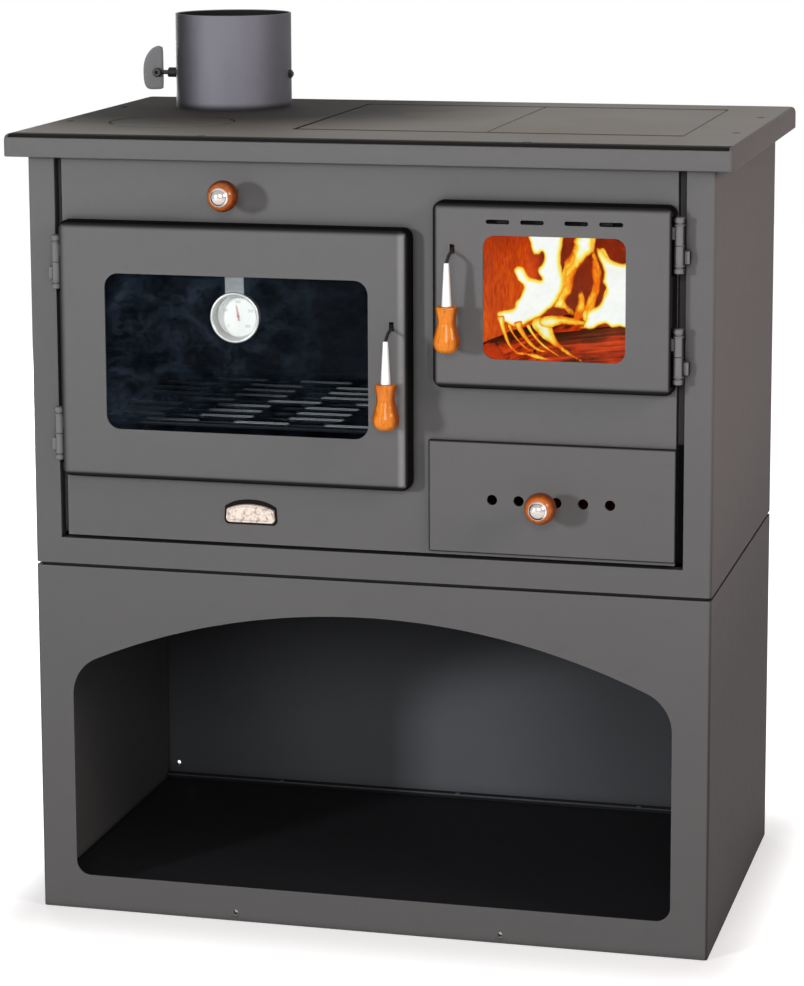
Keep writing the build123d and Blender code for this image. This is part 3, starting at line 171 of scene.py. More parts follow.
class Finish(Tree):
    """One procedural material, wired node by node."""

    def __init__(self, name):
        self.material = bpy.data.materials.new(name)
        self.material.use_nodes = True
        super().__init__(self.material.node_tree)

    def place(self, stretch=(1, 1, 1), turn=(0, 0, 0), centre=(0, 0, 0)):
        """Where a point of the piece is, in metres, moved to the centre, turned and stretched."""
        spot = self.add("ShaderNodeTexCoord", out="Object")
        if stretch == (1, 1, 1) and turn == (0, 0, 0) and centre == (0, 0, 0):
            return spot
        moved = self.add("ShaderNodeVectorMath", {"operation": "SUBTRACT"}, {0: spot, 1: centre})
        return self.add("ShaderNodeMapping", {"vector_type": "POINT"},
                        {"Vector": moved, "Rotation": turn, "Scale": stretch})

    def away_from(self, centre, stretch=(1, 1, 1)):
        """How far a point of the piece is from the centre, in metres."""
        return self.add("ShaderNodeVectorMath", {"operation": "LENGTH"},
                        {0: self.place(stretch, centre=centre)}, "Value")

    def noise(self, spot, scale, detail=3.0, rough=0.55, twist=0.0):
        return self.add("ShaderNodeTexNoise", None,
                        {"Vector": spot, "Scale": scale, "Detail": detail,
                         "Roughness": rough, "Distortion": twist})

    def cells(self, spot, scale):
        return self.add("ShaderNodeTexVoronoi", None, {"Vector": spot, "Scale": scale})

    def axis(self, spot, which):
        return self.add("ShaderNodeSeparateXYZ", None, {0: spot}, which)

    def direction(self):
        """The way the surface faces."""
        return self.add("ShaderNodeNewGeometry", out="Normal")

    def facing(self, which):
        """The part of the surface's own direction that lies along X, Y or Z."""
        return self.axis(self.direction(), which)

    def stored(self, name, out="Fac"):
        return self.add("ShaderNodeAttribute", {"attribute_name": name}, None, out)

    def blend(self, first, second, share, how="MIX"):
        return self.add("ShaderNodeMix", {"data_type": "RGBA", "blend_type": how},
                        {"Factor_Float": share, "A_Color": first, "B_Color": second}, "Result_Color")

    def ramp(self, value, stops):
        return self.add("ShaderNodeValToRGB", {"stops": stops}, {"Fac": value}, "Color")

    def edge(self, radius, gain=3.0):
        """1 along the piece's sharp edges, 0 on its flat faces."""
        agree = self.add("ShaderNodeVectorMath", {"operation": "DOT_PRODUCT"},
                         {0: self.rounded(radius), 1: self.direction()}, "Value")
        return ((1.0 - agree) * gain).clear_of(0.0, 1.0)

    def crevice(self):
        """1 deep in gaps and corners, where shade falls, 0 on open faces: a mask for painted shade."""
        open_ = self.add("ShaderNodeAmbientOcclusion", {"samples": 4}, {"Distance": 12 * MM}, "AO")
        return 1.0 - open_.clear_of(0.25, 0.85)

    def rounded(self, radius):
        """The surface's own direction, with its sharp edges eased."""
        return self.add("ShaderNodeBevel", {"samples": 4}, {"Radius": radius})

    def bump(self, height, depth, strength, eased=None):
        """A relief of this depth, over edges eased by a radius where one is given."""
        sockets = {"Height": height, "Distance": depth, "Strength": strength}
        if eased:
            sockets["Normal"] = self.rounded(eased)
        return self.add("ShaderNodeBump", None, sockets)

    def strip(self, along, centre, half, soft):
        """1 within half of a line, fading to 0 over soft."""
        return 1.0 - (along - centre).size().clear_of(half, half + soft)

    def borders(self, spot, box, fades):
        """1 along a box's top, bottom, left and right borders; each fade is where it starts and ends."""
        left, right, low, high = (part * MM for part in box)
        x, z = self.axis(spot, "X"), self.axis(spot, "Z")
        share = None
        for inside, (start, end) in zip((high - z, z - low, x - left, right - x), fades):
            fade = 1.0 - inside.clear_of(start * MM, end * MM)
            share = fade if share is None else share.or_(fade)
        return share

    def surface(self, **sockets):
        """The Principled surface; keyword names are its sockets with _ for a space."""
        named = {key.replace("_", " "): value for key, value in sockets.items()}
        return self.add("ShaderNodeBsdfPrincipled", None, named)

    def done(self, shader):
        self.add("ShaderNodeOutputMaterial", None, {"Surface": shader})
        return self.material

    def coated(self, **sockets):
        """The material, finished with a plain Principled surface."""
        return self.done(self.surface(**sockets))


def shade(tone, factor):
    """The tone, lighter or darker."""
    return tuple(min(1.0, part * factor) for part in tone)


def tint(tone, *factors):
    """The tone, with a factor of its own for each of its three parts."""
    return tuple(part * factor for part, factor in zip(tone, factors))


# ---------------------------------------------------------------- finishes
# painted shade: the black laid into gaps, borders and door returns
painted_shade_black = (0.004, 0.004, 0.004)


def stove_paint(name, tone, rough=0.56, sheen=0.03, relief=0.00006, edge_wear_and_glint=0.34, shaded_foot_tone=None,
                dark_behind=None, rolled=None, glint=None, shaded=None, shaded_sides=0.0, painted_light_inside=False):
    """Satin high-temperature paint: faint clouds, fine orange peel, a painted highlight along its edges, painted
    shade in gaps.

    shaded_foot_tone is its colour at the foot of the stove, painted shade that darkens it downwards. Behind
    dark_behind, on the returns of a door, the paint is painted black with shade. rolled is the box of a pressed
    front and how its borders are painted dark with shade, glint is where a painted highlight runs down its right
    border, and shaded is a strip beside a door painted black with shade. shaded_sides paints shade on the two
    sides of a barrel. painted_light_inside is a painted pool of light low on its inside.
    """
    f = Finish(name)
    spot = f.place()
    x, y, z = (f.axis(spot, which) for which in "XYZ")
    cloud = f.noise(spot, 5.0, 3.0)
    mottle = f.noise(spot, 60.0, 4.0, 0.6)
    peel = f.noise(spot, 900.0, 2.0)
    edge = f.edge(0.0016)
    # painted highlight: the edges lightened and blued, patchy along their length
    edge_glint = edge * (0.45 + 0.55 * f.noise(spot, 110.0, 3.0).clear_of(0.35, 0.7))
    colour = tone
    # painted shade: darker towards the foot of the stove
    if shaded_foot_tone is not None:
        colour = f.blend(shaded_foot_tone, tone, z.clear_of(0.0, 0.82))
    colour = f.blend(colour, (0.93, 0.93, 0.93), 1.0 - cloud, "MULTIPLY")
    colour = f.blend(colour, (0.86, 0.86, 0.86), mottle.clear_of(0.5, 0.85) * 0.35, "MULTIPLY")
    colour = f.blend(colour, tint(tone, 1.9, 1.95, 2.25), edge_glint * edge_wear_and_glint)
    # painted shade: darker deep in gaps and corners
    colour = f.blend(colour, shade(tone, 0.10), f.crevice() * 0.85)
    rough = rough + mottle * 0.10 - edge_glint * 0.08
    if shaded_foot_tone is not None:
        # painted warm light on the stove's right side, and painted shade low down on that side
        side = (f.facing("X") * x).clear_of(0.12, 0.26)
        colour = f.blend(colour, (1.0, 0.90, 0.89), side, "MULTIPLY")
        painted_low_side_shade = side * (1.0 - z.clear_of(0.22, 0.58))
        colour = f.blend(colour, (0.54, 0.53, 0.55), painted_low_side_shade, "MULTIPLY")
    if painted_light_inside:
        # painted light: a soft pool of light low on the inside back, shaded off at the top
        inside = (0.0 - f.facing("Y")).clear_of(0.2, 0.6)
        across = 0.42 + f.strip(x + (cloud - 0.5) * 0.08, -0.06, 0.09, 0.18) * 0.58
        painted_light = inside * across * z.clear_of(0.0, 0.04) * (1.0 - z.clear_of(0.14, 0.34))
        colour = f.blend(colour, shade(tone, 3.2), painted_light)
    if glint is not None:
        # painted highlight down the right border of the door
        glint_share = f.strip(x, glint * MM, 0.6 * MM, 5.0 * MM)
        colour = f.blend(colour, shade(tone, 2.0), glint_share * (0.45 + 0.3 * mottle))
    if rolled is not None:
        # painted shade along the borders of a pressed front
        colour = f.blend(colour, painted_shade_black, f.borders(spot, *rolled) ** 1.2 * 0.93)
    if shaded is not None:
        # painted shade: a strip beside a door painted black
        colour = f.blend((0.005, 0.005, 0.005), colour, f.borders(spot, *shaded))
    if shaded_sides:
        # painted shade on the two sides of a barrel, where it turns away from the front
        painted_side_shade = f.facing("X").size().clear_of(0.62, 0.92)
        colour = f.blend(colour, (0.006, 0.006, 0.006), painted_side_shade * shaded_sides)
    if dark_behind is not None:
        # painted shade: the door's returns behind its face painted black
        behind = y.clear_of(dark_behind, dark_behind + 1.6 * MM)
        colour = f.blend(colour, painted_shade_black, behind * 0.97)
        rough = rough + behind * 0.4
    normal = f.bump(peel, relief, 0.55, 0.8 * MM)
    return f.coated(Base_Color=colour, Roughness=rough, Specular_IOR_Level=sheen, Normal=normal)


def hob_iron(name, tone):
    """The cooking plate: ground, oiled and heated, with fine drag lines and brown blooms; painted shade blackens
    its seams and edges, and a painted dark reflection lies round the flue.
    """
    f = Finish(name)
    spot = f.place()
    drag = f.noise(f.place(stretch=(1.0, 14.0, 1.0)), 90.0, 3.0)
    bloom = f.noise(spot, 7.0, 4.0, 0.6, 0.4)
    pores = f.noise(spot, 700.0, 2.0)
    along, back = f.axis(spot, "X"), f.axis(spot, "Y")
    low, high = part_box("hob_insert_left")[0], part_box("hob_insert_right")[1]
    between_x = along.clear_of(low.x - 2 * MM, low.x) * (1.0 - along.clear_of(high.x, high.x + 2 * MM))
    between_y = back.clear_of(low.y - 6 * MM, low.y - 4 * MM) * (1.0 - back.clear_of(high.y, high.y + 2 * MM))
    # painted shade: black strips along the seams round the inserts
    soot = (f.strip(along, low.x - 0.6 * MM, 1.9 * MM, 0.8 * MM) * between_y).or_(
        f.strip(back, low.y - 0.6 * MM, 3.6 * MM, 2.4 * MM) * between_x * 0.8).or_(
        f.strip(back, high.y + 0.6 * MM, 3.2 * MM, 2.4 * MM) * between_x * 0.8)
    # painted shade on the plate's front edge
    border = 1.0 - back.clear_of(-224.0 * MM, -220.0 * MM)
    seam_shade = f.edge(0.0013, 4.0).or_(1.0 - f.axis(spot, "Z").clear_of(hob_top - 1.1 * MM, hob_top - 0.4 * MM))
    seam_shade = seam_shade.or_(soot).or_(border)
    # painted reflection: the plate darker round the flue, where it mirrors the dark pipe
    away = f.away_from((*flue_place, hob_top))
    painted_flue_reflection = 1.0 - (away + (bloom - 0.5) * 0.10).clear_of(0.15, 0.36)
    colour = f.blend(shade(tone, 0.90), shade(tone, 1.10), drag)
    colour = f.blend(colour, tint(tone, 1.18, 1.0, 0.84), bloom.clear_of(0.42, 0.72) * 0.7)
    colour = f.blend(colour, shade(tone, 0.10), painted_flue_reflection * 0.95)
    colour = f.blend(colour, painted_shade_black, seam_shade * 0.96)
    normal = f.bump(pores + drag * 0.4, 0.00006, 0.6, 0.5 * MM)
    return f.coated(Base_Color=colour, Roughness=0.50 + bloom * 0.14 + (seam_shade + painted_flue_reflection) * 0.3,
                    Specular_IOR_Level=0.12, Normal=normal)


def bare_steel(name, tone, rough, grain=(1.0, 1.0, 12.0), stain=0.25, *, metal, edge_wear_and_glint=0.4, shaded_left=None):
    """Bright or dull steel with rolled grain and light stains; shaded_left is where it is painted dark with
    shade.
    """
    f = Finish(name)
    spot = f.place()
    line = f.noise(f.place(stretch=grain), 260.0, 3.0)
    patch = f.noise(spot, 24.0, 4.0, 0.6)
    edge = f.edge(0.0008)
    colour = f.blend(shade(tone, 0.86), shade(tone, 1.1), line)
    colour = f.blend(colour, tint(tone, 0.72, 0.64, 0.56),
                     patch.clear_of(0.5, 0.8) * stain)
    colour = f.blend(colour, shade(tone, 1.35), edge * edge_wear_and_glint)
    if shaded_left is not None:
        # painted shade: darker towards the left
        bright = (f.axis(spot, "X") + (patch - 0.5) * 0.08).clear_of(*shaded_left)
        colour = f.blend(shade(tone, 0.05), colour, bright)
    normal = f.bump(line, 0.00004, 0.4, 0.4 * MM)
    return f.coated(Base_Color=colour, Metallic=metal, Roughness=rough + patch * 0.14,
                    Normal=normal)


def heated_paint(name, tone):
    """The flue's paint, with painted shade towards its two sides and a painted contact shadow at its foot."""
    f = Finish(name)
    spot = f.place()
    smear = f.noise(f.place(stretch=(1.0, 1.0, 0.10)), 60.0, 4.0, 0.6)
    cloud = f.noise(spot, 22.0, 4.0, 0.6)
    peel = f.noise(spot, 800.0, 2.0)
    # painted shade: darker towards the pipe's two sides, the left more than the right
    across = f.facing("X") + (smear - 0.5) * 0.18
    left = (across * -1.0).clear_of(0.20, 0.80)
    right = across.clear_of(0.52, 1.02)
    # painted contact shadow at the foot of the pipe
    foot = 1.0 - f.axis(spot, "Z").clear_of(hob_top + 1.0 * MM, hob_top + 9.0 * MM)
    colour = f.blend(shade(tone, 0.90), shade(tone, 1.08), smear)
    colour = f.blend(colour, tint(tone, 0.86, 0.82, 0.76), cloud.clear_of(0.45, 0.8) * 0.6)
    colour = f.blend(colour, shade(tone, 0.06), left.or_(right * 0.38) * 0.92)
    colour = f.blend(colour, (0.010, 0.010, 0.012), foot * 0.9)
    return f.coated(Base_Color=colour, Metallic=0.15, Roughness=0.50 + cloud * 0.12, Specular_IOR_Level=0.04,
                    Normal=f.bump(peel + smear, 0.00006, 0.5))


def chrome(name, tone=(0.78, 0.74, 0.70), rough=0.12, metal=1.0):
    """Polished plating with the faint haze of handling."""
    f = Finish(name)
    haze = f.noise(f.place(), 130.0, 3.0, 0.6)
    fine = f.noise(f.place(stretch=(1.0, 1.0, 0.06)), 900.0, 2.0)
    colour = f.blend(shade(tone, 0.92), tone, haze)
    return f.coated(Base_Color=colour, Metallic=metal, Roughness=rough + haze * 0.10,
                    Normal=f.bump(fine, 0.00002, 0.3))


def lacquered_wood(name, tone, deep, rim_shade, along=(1.0, 1.0, 0.16), axis_xz=None, radius=1.0):
    """Stained beech under thick gloss lacquer: stretched grain, short pores, and painted shade darkening its
    sides.

    axis_xz is the middle of a knob turned along Y, whose rim the painted shade darkens instead.
    """
    f = Finish(name)
    run = f.place(stretch=along)
    rings = f.noise(run, 150.0, 4.0, 0.6, 0.8)
    pores = f.noise(run, 700.0, 2.0, 0.5)
    cloud = f.noise(f.place(), 50.0, 2.0)
    colour = f.blend(tone, deep, rings.clear_of(0.42, 0.68) * 0.65)
    colour = f.blend(colour, shade(deep, 0.6), pores.clear_of(0.62, 0.75) * 0.45)
    colour = f.blend(colour, shade(tone, 1.25), cloud.clear_of(0.5, 0.8) * 0.35)
    # painted shade: darker on a grip's two sides, or round a knob's rim
    if axis_xz is None:
        colour = f.blend(colour, rim_shade, f.facing("X").size().clear_of(0.50, 1.0) * 0.85)
    else:
        out = f.away_from((axis_xz[0], 0, axis_xz[1]), (1, 0, 1))
        colour = f.blend(colour, rim_shade, out.clear_of(radius * 0.66, radius * 1.02) * 0.85)
    return f.coated(Base_Color=colour, Roughness=0.36 + rings * 0.10, Coat_Weight=0.50,
                    Coat_Roughness=0.04, Specular_IOR_Level=0.05,
                    Normal=f.bump(pores, 0.00003, 0.25))


def firebrick(name, tone):
    """Pressed fire clay, pitted and sooty, with firelight painted on as a glow over the faces near the fire."""
    f = Finish(name)
    spot = f.place()
    grit = f.noise(spot, 420.0, 4.0, 0.65)
    streak = f.noise(f.place(stretch=(1.0, 1.0, 0.8)), 150.0, 5.0, 0.7, 0.3)
    soot = f.noise(spot, 26.0, 4.0, 0.6)
    pits = f.cells(spot, 240.0).clear_of(0.05, 0.30)
    colour = f.blend(shade(tone, 0.75), shade(tone, 1.15), grit)
    colour = f.blend(colour, shade(tone, 0.22), soot.clear_of(0.45, 0.75) * 0.8)
    # painted firelight: a glow that is stronger low down and on the left wall
    height = f.axis(spot, "Z")
    left = 1.0 - f.axis(spot, "X").clear_of(0.10, 0.125)
    low = 1.0 - height.clear_of(0.655, 0.76)
    heat = left * 0.13 + low * 0.26 * (0.2 + left * 0.8) + (streak - 0.5) * 0.70 + (soot - 0.5) * 0.55 + 0.20
    light = f.ramp(heat, [(0.0, (0.035, 0.002, 0.0)), (0.28, (0.19, 0.012, 0.002)),
                          (0.52, (0.50, 0.040, 0.003)), (0.74, (0.80, 0.125, 0.006)),
                          (1.0, (1.0, 0.36, 0.03))])
    firelit_faces = (height - 0.56).clear_of(0.0, 0.04) * f.axis(spot, "Y").clear_of(-212 * MM, -196 * MM)
    return f.coated(Base_Color=colour, Roughness=0.9, Specular_IOR_Level=0.1, Emission_Color=f.blend(
        (0, 0, 0), light, firelit_faces), Emission_Strength=1.0, Normal=f.bump(grit + pits * 0.6, 0.0006, 0.7))


def cast_iron(name, tone):
    f = Finish(name)
    spot = f.place()
    sand = f.noise(spot, 500.0, 4.0, 0.6)
    rust = f.noise(spot, 45.0, 4.0, 0.6).clear_of(0.5, 0.75)
    edge = f.edge(0.001)
    colour = f.blend(shade(tone, 0.8), shade(tone, 1.2), sand)
    colour = f.blend(colour, (0.16, 0.06, 0.025), rust * 0.45)
    colour = f.blend(colour, shade(tone, 2.2), edge * 0.4)
    return f.coated(Base_Color=colour, Metallic=0.5, Roughness=0.62 + sand * 0.2,
                    Normal=f.bump(sand, 0.0003, 0.7))


def enamel(name, tone):
    """Speckled gloss enamel inside the oven."""
    f = Finish(name)
    spot = f.place()
    speck = f.cells(spot, 320.0).clear_of(0.10, 0.20)
    wave = f.noise(spot, 30.0, 3.0)
    bake = f.noise(spot, 8.0, 4.0, 0.6)
    colour = f.blend(shade(tone, 3.0), tone, speck)
    colour = f.blend(colour, shade(tone, 0.5), bake.clear_of(0.5, 0.75) * 0.5)
    return f.coated(Base_Color=colour, Roughness=0.42 + bake * 0.2, Specular_IOR_Level=0.12,
                    Normal=f.bump(wave, 0.0004, 0.3))


def slotted_enamel(name, tone, rim):
    """Black enamel whose slot edges carry a painted highlight, patchy along them."""
    f = Finish(name)
    spot = f.place()
    wave = f.noise(spot, 60.0, 3.0)
    edge = f.edge(0.0009, 4.0)
    # painted highlight along the slot edges
    glint_share = edge * f.noise(spot, 40.0, 3.0, 0.6).clear_of(0.30, 0.55)
    colour = f.blend(shade(tone, 0.8), shade(tone, 1.3), wave)
    colour = f.blend(colour, rim, glint_share)
    return f.coated(Base_Color=colour, Roughness=0.45 + wave * 0.15, Specular_IOR_Level=0.15,
                    Normal=f.bump(wave, 0.0002, 0.3))


def glazing(name, film, cover, blotch, oven=False):
    """Fireproof glass: mostly clear, under a bluish film in soft blotches, part smoke and part painted
    reflection.

    On the oven's glass the film thins out towards the latch side and over the thermometer.
    """
    f = Finish(name)
    spot = f.place(stretch=(1.0, 1.0, 1.4))
    smoke = f.noise(spot, 26.0, 5.0, 0.68, 0.5)
    grain = f.noise(spot, 170.0, 4.0, 0.7)
    wide = f.noise(spot, 6.0, 2.0)
    patch = (smoke * 0.5 + grain * 0.32 + wide * 0.18).clear_of(0.40, 0.66)
    colour = f.blend(shade(film, 0.45), film, patch)
    share = cover + patch * blotch
    if oven:
        here = f.place()
        x, z = f.axis(here, "X"), f.axis(here, "Z")
        thin = x.clear_of(-170 * MM, -20 * MM) * 0.66
        low = (1.0 - z.clear_of(560 * MM, 640 * MM)) * x.clear_of(-260 * MM, -170 * MM) * 0.80
        out = f.away_from((gauge_place[0], 0, gauge_place[2]), (1, 0, 1))
        share = share * (1.0 - thin.or_(low).or_(1.0 - out.clear_of(22 * MM, 34 * MM)) * 0.97)
        # painted reflection: the film thicker and lighter in the lower left corner
        corner = (1.0 - x.clear_of(-300 * MM, -225 * MM)) * (1.0 - z.clear_of(515 * MM, 610 * MM))
        share = share + corner * (patch + 0.35) * 0.55
    seen = f.add("ShaderNodeBsdfTransparent", None, {"Color": (0.97, 0.985, 0.98)})
    skin = f.surface(Base_Color=colour, Roughness=0.08, Specular_IOR_Level=0.05)
    return f.done(f.add("ShaderNodeMixShader", None, {0: share, 1: seen, 2: skin}))


def burning_log(name):
    """Charred split wood alight from below: glowing between fine dark lines that follow the grain."""
    f = Finish(name)
    run = f.stored("grain_run", "Vector")
    long_lines = f.add("ShaderNodeMapping", None, {"Vector": run, "Scale": (0.06, 1.0, 1.0)})
    fibre = f.noise(long_lines, 330.0, 4.0, 0.6, 0.3)
    crack = f.noise(long_lines, 120.0, 3.0, 0.5, 0.6)
    patch = f.noise(f.place(), 30.0, 3.0, 0.6)
    ends = f.stored("end_grain")
    rings = (f.noise(run, 260.0, 3.0, 0.6) - 0.5) * 0.9
    heat = (fibre - 0.5) * 0.75 + (crack - 0.5) * 0.55 + (patch - 0.5) * 0.55 + 0.46
    heat = heat * (1.0 - ends) + (0.52 + rings) * ends - f.facing("Z").clear_of(0.62, 0.95) * 0.30
    char = f.blend((0.012, 0.008, 0.006), (0.12, 0.05, 0.024), fibre)
    light = f.ramp(heat, [(0.20, (0.012, 0.001, 0.0)), (0.36, (0.15, 0.010, 0.001)),
                          (0.52, (0.52, 0.032, 0.004)), (0.72, (0.82, 0.085, 0.008)),
                          (0.95, (1.0, 0.36, 0.06))])
    return f.coated(Base_Color=char, Roughness=0.9, Specular_IOR_Level=0.1, Emission_Color=light,
                    Emission_Strength=1.0, Normal=f.bump(fibre + crack, 0.0015, 0.8))


def flame(name, core, swing, gain=1.05):
    """A sheet of fire: hot inside, then yellow, orange and a border that fades out.

    core is the heat deep inside the sheet, swing how much it varies in streaks.
    """
    f = Finish(name)
    inward = f.stored("inward")
    run = f.place(stretch=(1.0, 0.5, 0.42), turn=(0.0, 0.35, 0.0))
    lick = f.noise(run, 48.0, 4.0, 0.55, 0.9)
    vein = f.noise(run, 120.0, 3.0, 0.6, 0.6)
    streaks = (lick - 0.5) * swing + (vein - 0.5) * swing * 0.6
    heat = inward ** 0.9 * core + streaks * (1.2 - 0.4 * inward) - (1.0 - inward) * 0.08
    light = f.ramp(heat, [(0.0, (0.90, 0.14, 0.006)), (0.12, (1.0, 0.36, 0.015)),
                          (0.25, (1.0, 0.62, 0.050)), (0.40, (1.0, 0.86, 0.17)),
                          (0.58, (1.0, 0.97, 0.58)), (0.76, (1.0, 1.0, 0.97))])
    cover = (inward * 2.2 + streaks * 1.3).clear_of(0.0, 0.60)
    return f.coated(Base_Color=(0, 0, 0), Roughness=1.0, Specular_IOR_Level=0.0,
                    Emission_Color=light, Emission_Strength=gain, Alpha=cover)


def hammered_plate(name, tone, dark):
    """Cast plate beaten all over, with tarnish in the dents."""
    f = Finish(name)
    spot = f.place()
    beat = f.noise(spot, 420.0, 3.0, 0.6)
    tarnish = f.noise(spot, 210.0, 4.0, 0.65, 0.8)
    colour = f.blend(tone, dark, tarnish.clear_of(0.46, 0.66) * 0.85)
    return f.coated(Base_Color=colour, Metallic=0.35, Roughness=0.40 + beat * 0.12,
                    Normal=f.bump(beat + tarnish, 0.00025, 0.8))


def plain(name, tone, rough, grain=400.0, relief=0.00005, sheen=0.3):
    """A small even part with only a fine grain in it."""
    f = Finish(name)
    spot = f.place()
    fine = f.noise(spot, grain, 3.0)
    colour = f.blend(shade(tone, 0.88), shade(tone, 1.1), fine)
    return f.coated(Base_Color=colour, Roughness=rough + fine * 0.1,
                    Specular_IOR_Level=sheen, Normal=f.bump(fine, relief, 0.5))


grey = (0.150, 0.149, 0.150)
# painted shade: the grey at the foot of the stove
shaded_foot_grey = (0.112, 0.110, 0.110)
bypass_axis = (-141 * MM, 791 * MM)
ash_axis = (194.75 * MM, 479 * MM)
knob_radius = 16.4 * MM
# a knob's wood tones: its main tone, its grain, and the painted shade round its rim
knob_tones = ((0.52, 0.125, 0.013), (0.30, 0.050, 0.005), (0.055, 0.008, 0.001))
oven_door_box, fire_door_box = (-328, 54, 486, 760), (78, 328, 597, 790)


def front_coat(name, **marks):
    """The stove's own grey, with painted shade towards the foot and the marks of one of its fronts."""
    return stove_paint(name, grey, shaded_foot_tone=shaded_foot_grey, **marks)


def door_coat(name, box, fades, glint=None):
    """The coat of a door shell: painted shade along its rolled borders and painted black shade behind its face.
    """
    return front_coat(name, dark_behind=door_face + 2.6 * MM, rolled=(box, fades), glint=glint)


def knob_wood(name, axis_xz, strength):
    """The stained wood of a knob, with painted shade darkening it round its rim."""
    tones = [shade(tone, strength) for tone in knob_tones]
    return lacquered_wood(name, *tones, (1.0, 0.2, 1.0), axis_xz, knob_radius)


finishes = {
    "front_paint": front_coat("front_paint"),
    # painted shade: a much darker copy of the stove's grey for the inside, which lies in shade
    "inner_paint": stove_paint("inner_paint", (0.052, 0.053, 0.056), 0.68, 0.06, 0.0001),
    "hob_steel": hob_iron("hob_steel", (0.172, 0.161, 0.146)),
    "flue_paint": heated_paint("flue_paint", (0.200, 0.198, 0.232)),
    "badge_metal": hammered_plate("badge_metal", (0.66, 0.57, 0.50), (0.25, 0.19, 0.16)),
    "hinge_paint": stove_paint("hinge_paint", shade(grey, 1.3), 0.42, edge_wear_and_glint=0.3, shaded_sides=0.92),
    "dark_steel": bare_steel("dark_steel", (0.022, 0.021, 0.020), 0.42, metal=0.3, edge_wear_and_glint=0.2),
    "bright_steel": bare_steel("bright_steel", (0.20, 0.185, 0.17), 0.38, metal=0.6),
    "raw_steel": bare_steel("raw_steel", (0.085, 0.082, 0.080), 0.5, metal=0.4),
    "oven_enamel": enamel("oven_enamel", (0.0045, 0.0055, 0.0085)),
    "shelf_chrome": slotted_enamel("oven_shelf_enamel", (0.004, 0.005, 0.007), (0.34, 0.35, 0.37)),
    "handle_chrome": chrome("handle_chrome"),
    # the third tone is the painted shade on the grips' two sides
    "handle_wood": lacquered_wood("handle_wood", (0.80, 0.225, 0.003), (0.52, 0.100, 0.002),
                                  (0.20, 0.028, 0.002)),
    "firebrick": firebrick("firebrick", (0.30, 0.18, 0.11)),
    "grate_iron": cast_iron("grate_iron", (0.05, 0.047, 0.043)),
    "log_wood": burning_log("log_wood"),
    "clear_glass": glazing("oven_glazing", (0.052, 0.080, 0.125), 0.025, 0.22, oven=True),
    "rope_seal": plain("rope_seal", (0.085, 0.085, 0.085), 0.85, 900.0, 0.0004, 0.1),
    "dial_white": plain("dial_white", (0.95, 0.945, 0.94), 0.5, 900.0, 0.00001),
    "needle_red": plain("needle_red", (0.74, 0.36, 0.33), 0.4),
}
# painted shadow: the near-black of the ring round the badge
smoked_recess = plain("smoked_recess", (0.012, 0.009, 0.008), 0.7, 400.0, 0.00005, 0.05)
cap_chrome = chrome("cap_chrome", (0.52, 0.47, 0.44), 0.16)
screw_steel = bare_steel("screw_steel", (0.10, 0.092, 0.085), 0.42, metal=0.5)
brushed_cone = chrome("brushed_cone", (0.93, 0.91, 0.89), 0.42, 0.35)
flue_soot = plain("flue_soot", (0.014, 0.013, 0.013), 0.8, 300.0, 0.0003, 0.1)
hammered_steel = bare_steel("hammered_steel", (0.140, 0.140, 0.146), 0.5, (1.0, 1.0, 1.0), 0.3, metal=0.1)
# painted highlight: lighter steel for the lips round the shelf's slots, with painted shade over their left part
worn_lip = bare_steel("worn_lip", (0.21, 0.22, 0.24), 0.42, (0.3, 1.0, 1.0), 0.6, metal=0.35,
                      shaded_left=(-250 * MM, -130 * MM))
dial_ink = plain("dial_ink", (0.55, 0.54, 0.54), 0.5)
gauge_steel = bare_steel("gauge_steel", (0.52, 0.52, 0.52), 0.24, (1.0, 1.0, 6.0), 0.15, metal=0.75, edge_wear_and_glint=1.0)
strap_steel = bare_steel("strap_steel", (0.36, 0.37, 0.385), 0.45, (1.0, 1.0, 6.0), 0.2, metal=0.12)
inner_door = stove_paint("inner_door", (0.020, 0.020, 0.022), 0.7, 0.05, 0.0001)
flame_bright = flame("flame_bright", 1.55, 0.50)
flame_lick = flame("flame_lick", 0.55, 0.85, 1.0)
flame_yellow = flame("flame_yellow", 1.10, 0.80)
flame_faint = flame("flame_faint", 0.46, 1.05)

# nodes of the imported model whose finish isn't the one of their slot
own_finish = {
    # painted shade: darker copies of the grey for the wood store's floor and back; the back also carries a
    # painted pool of light
    "base_floor": stove_paint("store_floor", (0.014, 0.014, 0.016), 0.6, 0.10, 0.0001),
    "base_back": stove_paint("store_back", (0.031, 0.032, 0.035), 0.68, 0.06, 0.0001, painted_light_inside=True),
    "fire_door_inner": inner_door,
    "fire_door_fixings": inner_door,
    "oven_door_inner": inner_door,
    "fire_glass": glazing("fire_glazing", (0.06, 0.02, 0.01), 0.02, 0.05),
    # painted shade along the door and drawer borders, a painted highlight down the oven door's right border, and
    # painted shade in the gap beside the ash drawer
    "oven_door_shell": door_coat("oven_door_paint", oven_door_box,
                                 ((3.0, 8.5), (4.0, 8.0), (2.0, 11.0), (3.0, 6.0)), 46.0),
    "fire_door_shell": door_coat("fire_door_paint", fire_door_box,
                                 ((3.0, 8.5), (4.0, 8.5), (3.0, 7.0), (4.0, 6.5))),
    "ash_front": front_coat("ash_paint", rolled=((70.5, 329, 422, 540),
                                                 ((0.8, 2.8), (0.4, 1.8), (0.4, 2.2), (0.4, 2.0)))),
    "front_panel": front_coat("panel_paint", shaded=((329, 334.5, 419, 541),
                                                     ((-3, 0), (-3, 0), (-2, 0), (-2, 0)))),
    "bypass_knob": knob_wood("bypass_wood", bypass_axis, 1.0),
    "ash_knob": knob_wood("ash_wood", ash_axis, 1.25),
}
slot_of = {part["node"]: part["material_slot"] for part in frame["record"]["subparts"]}
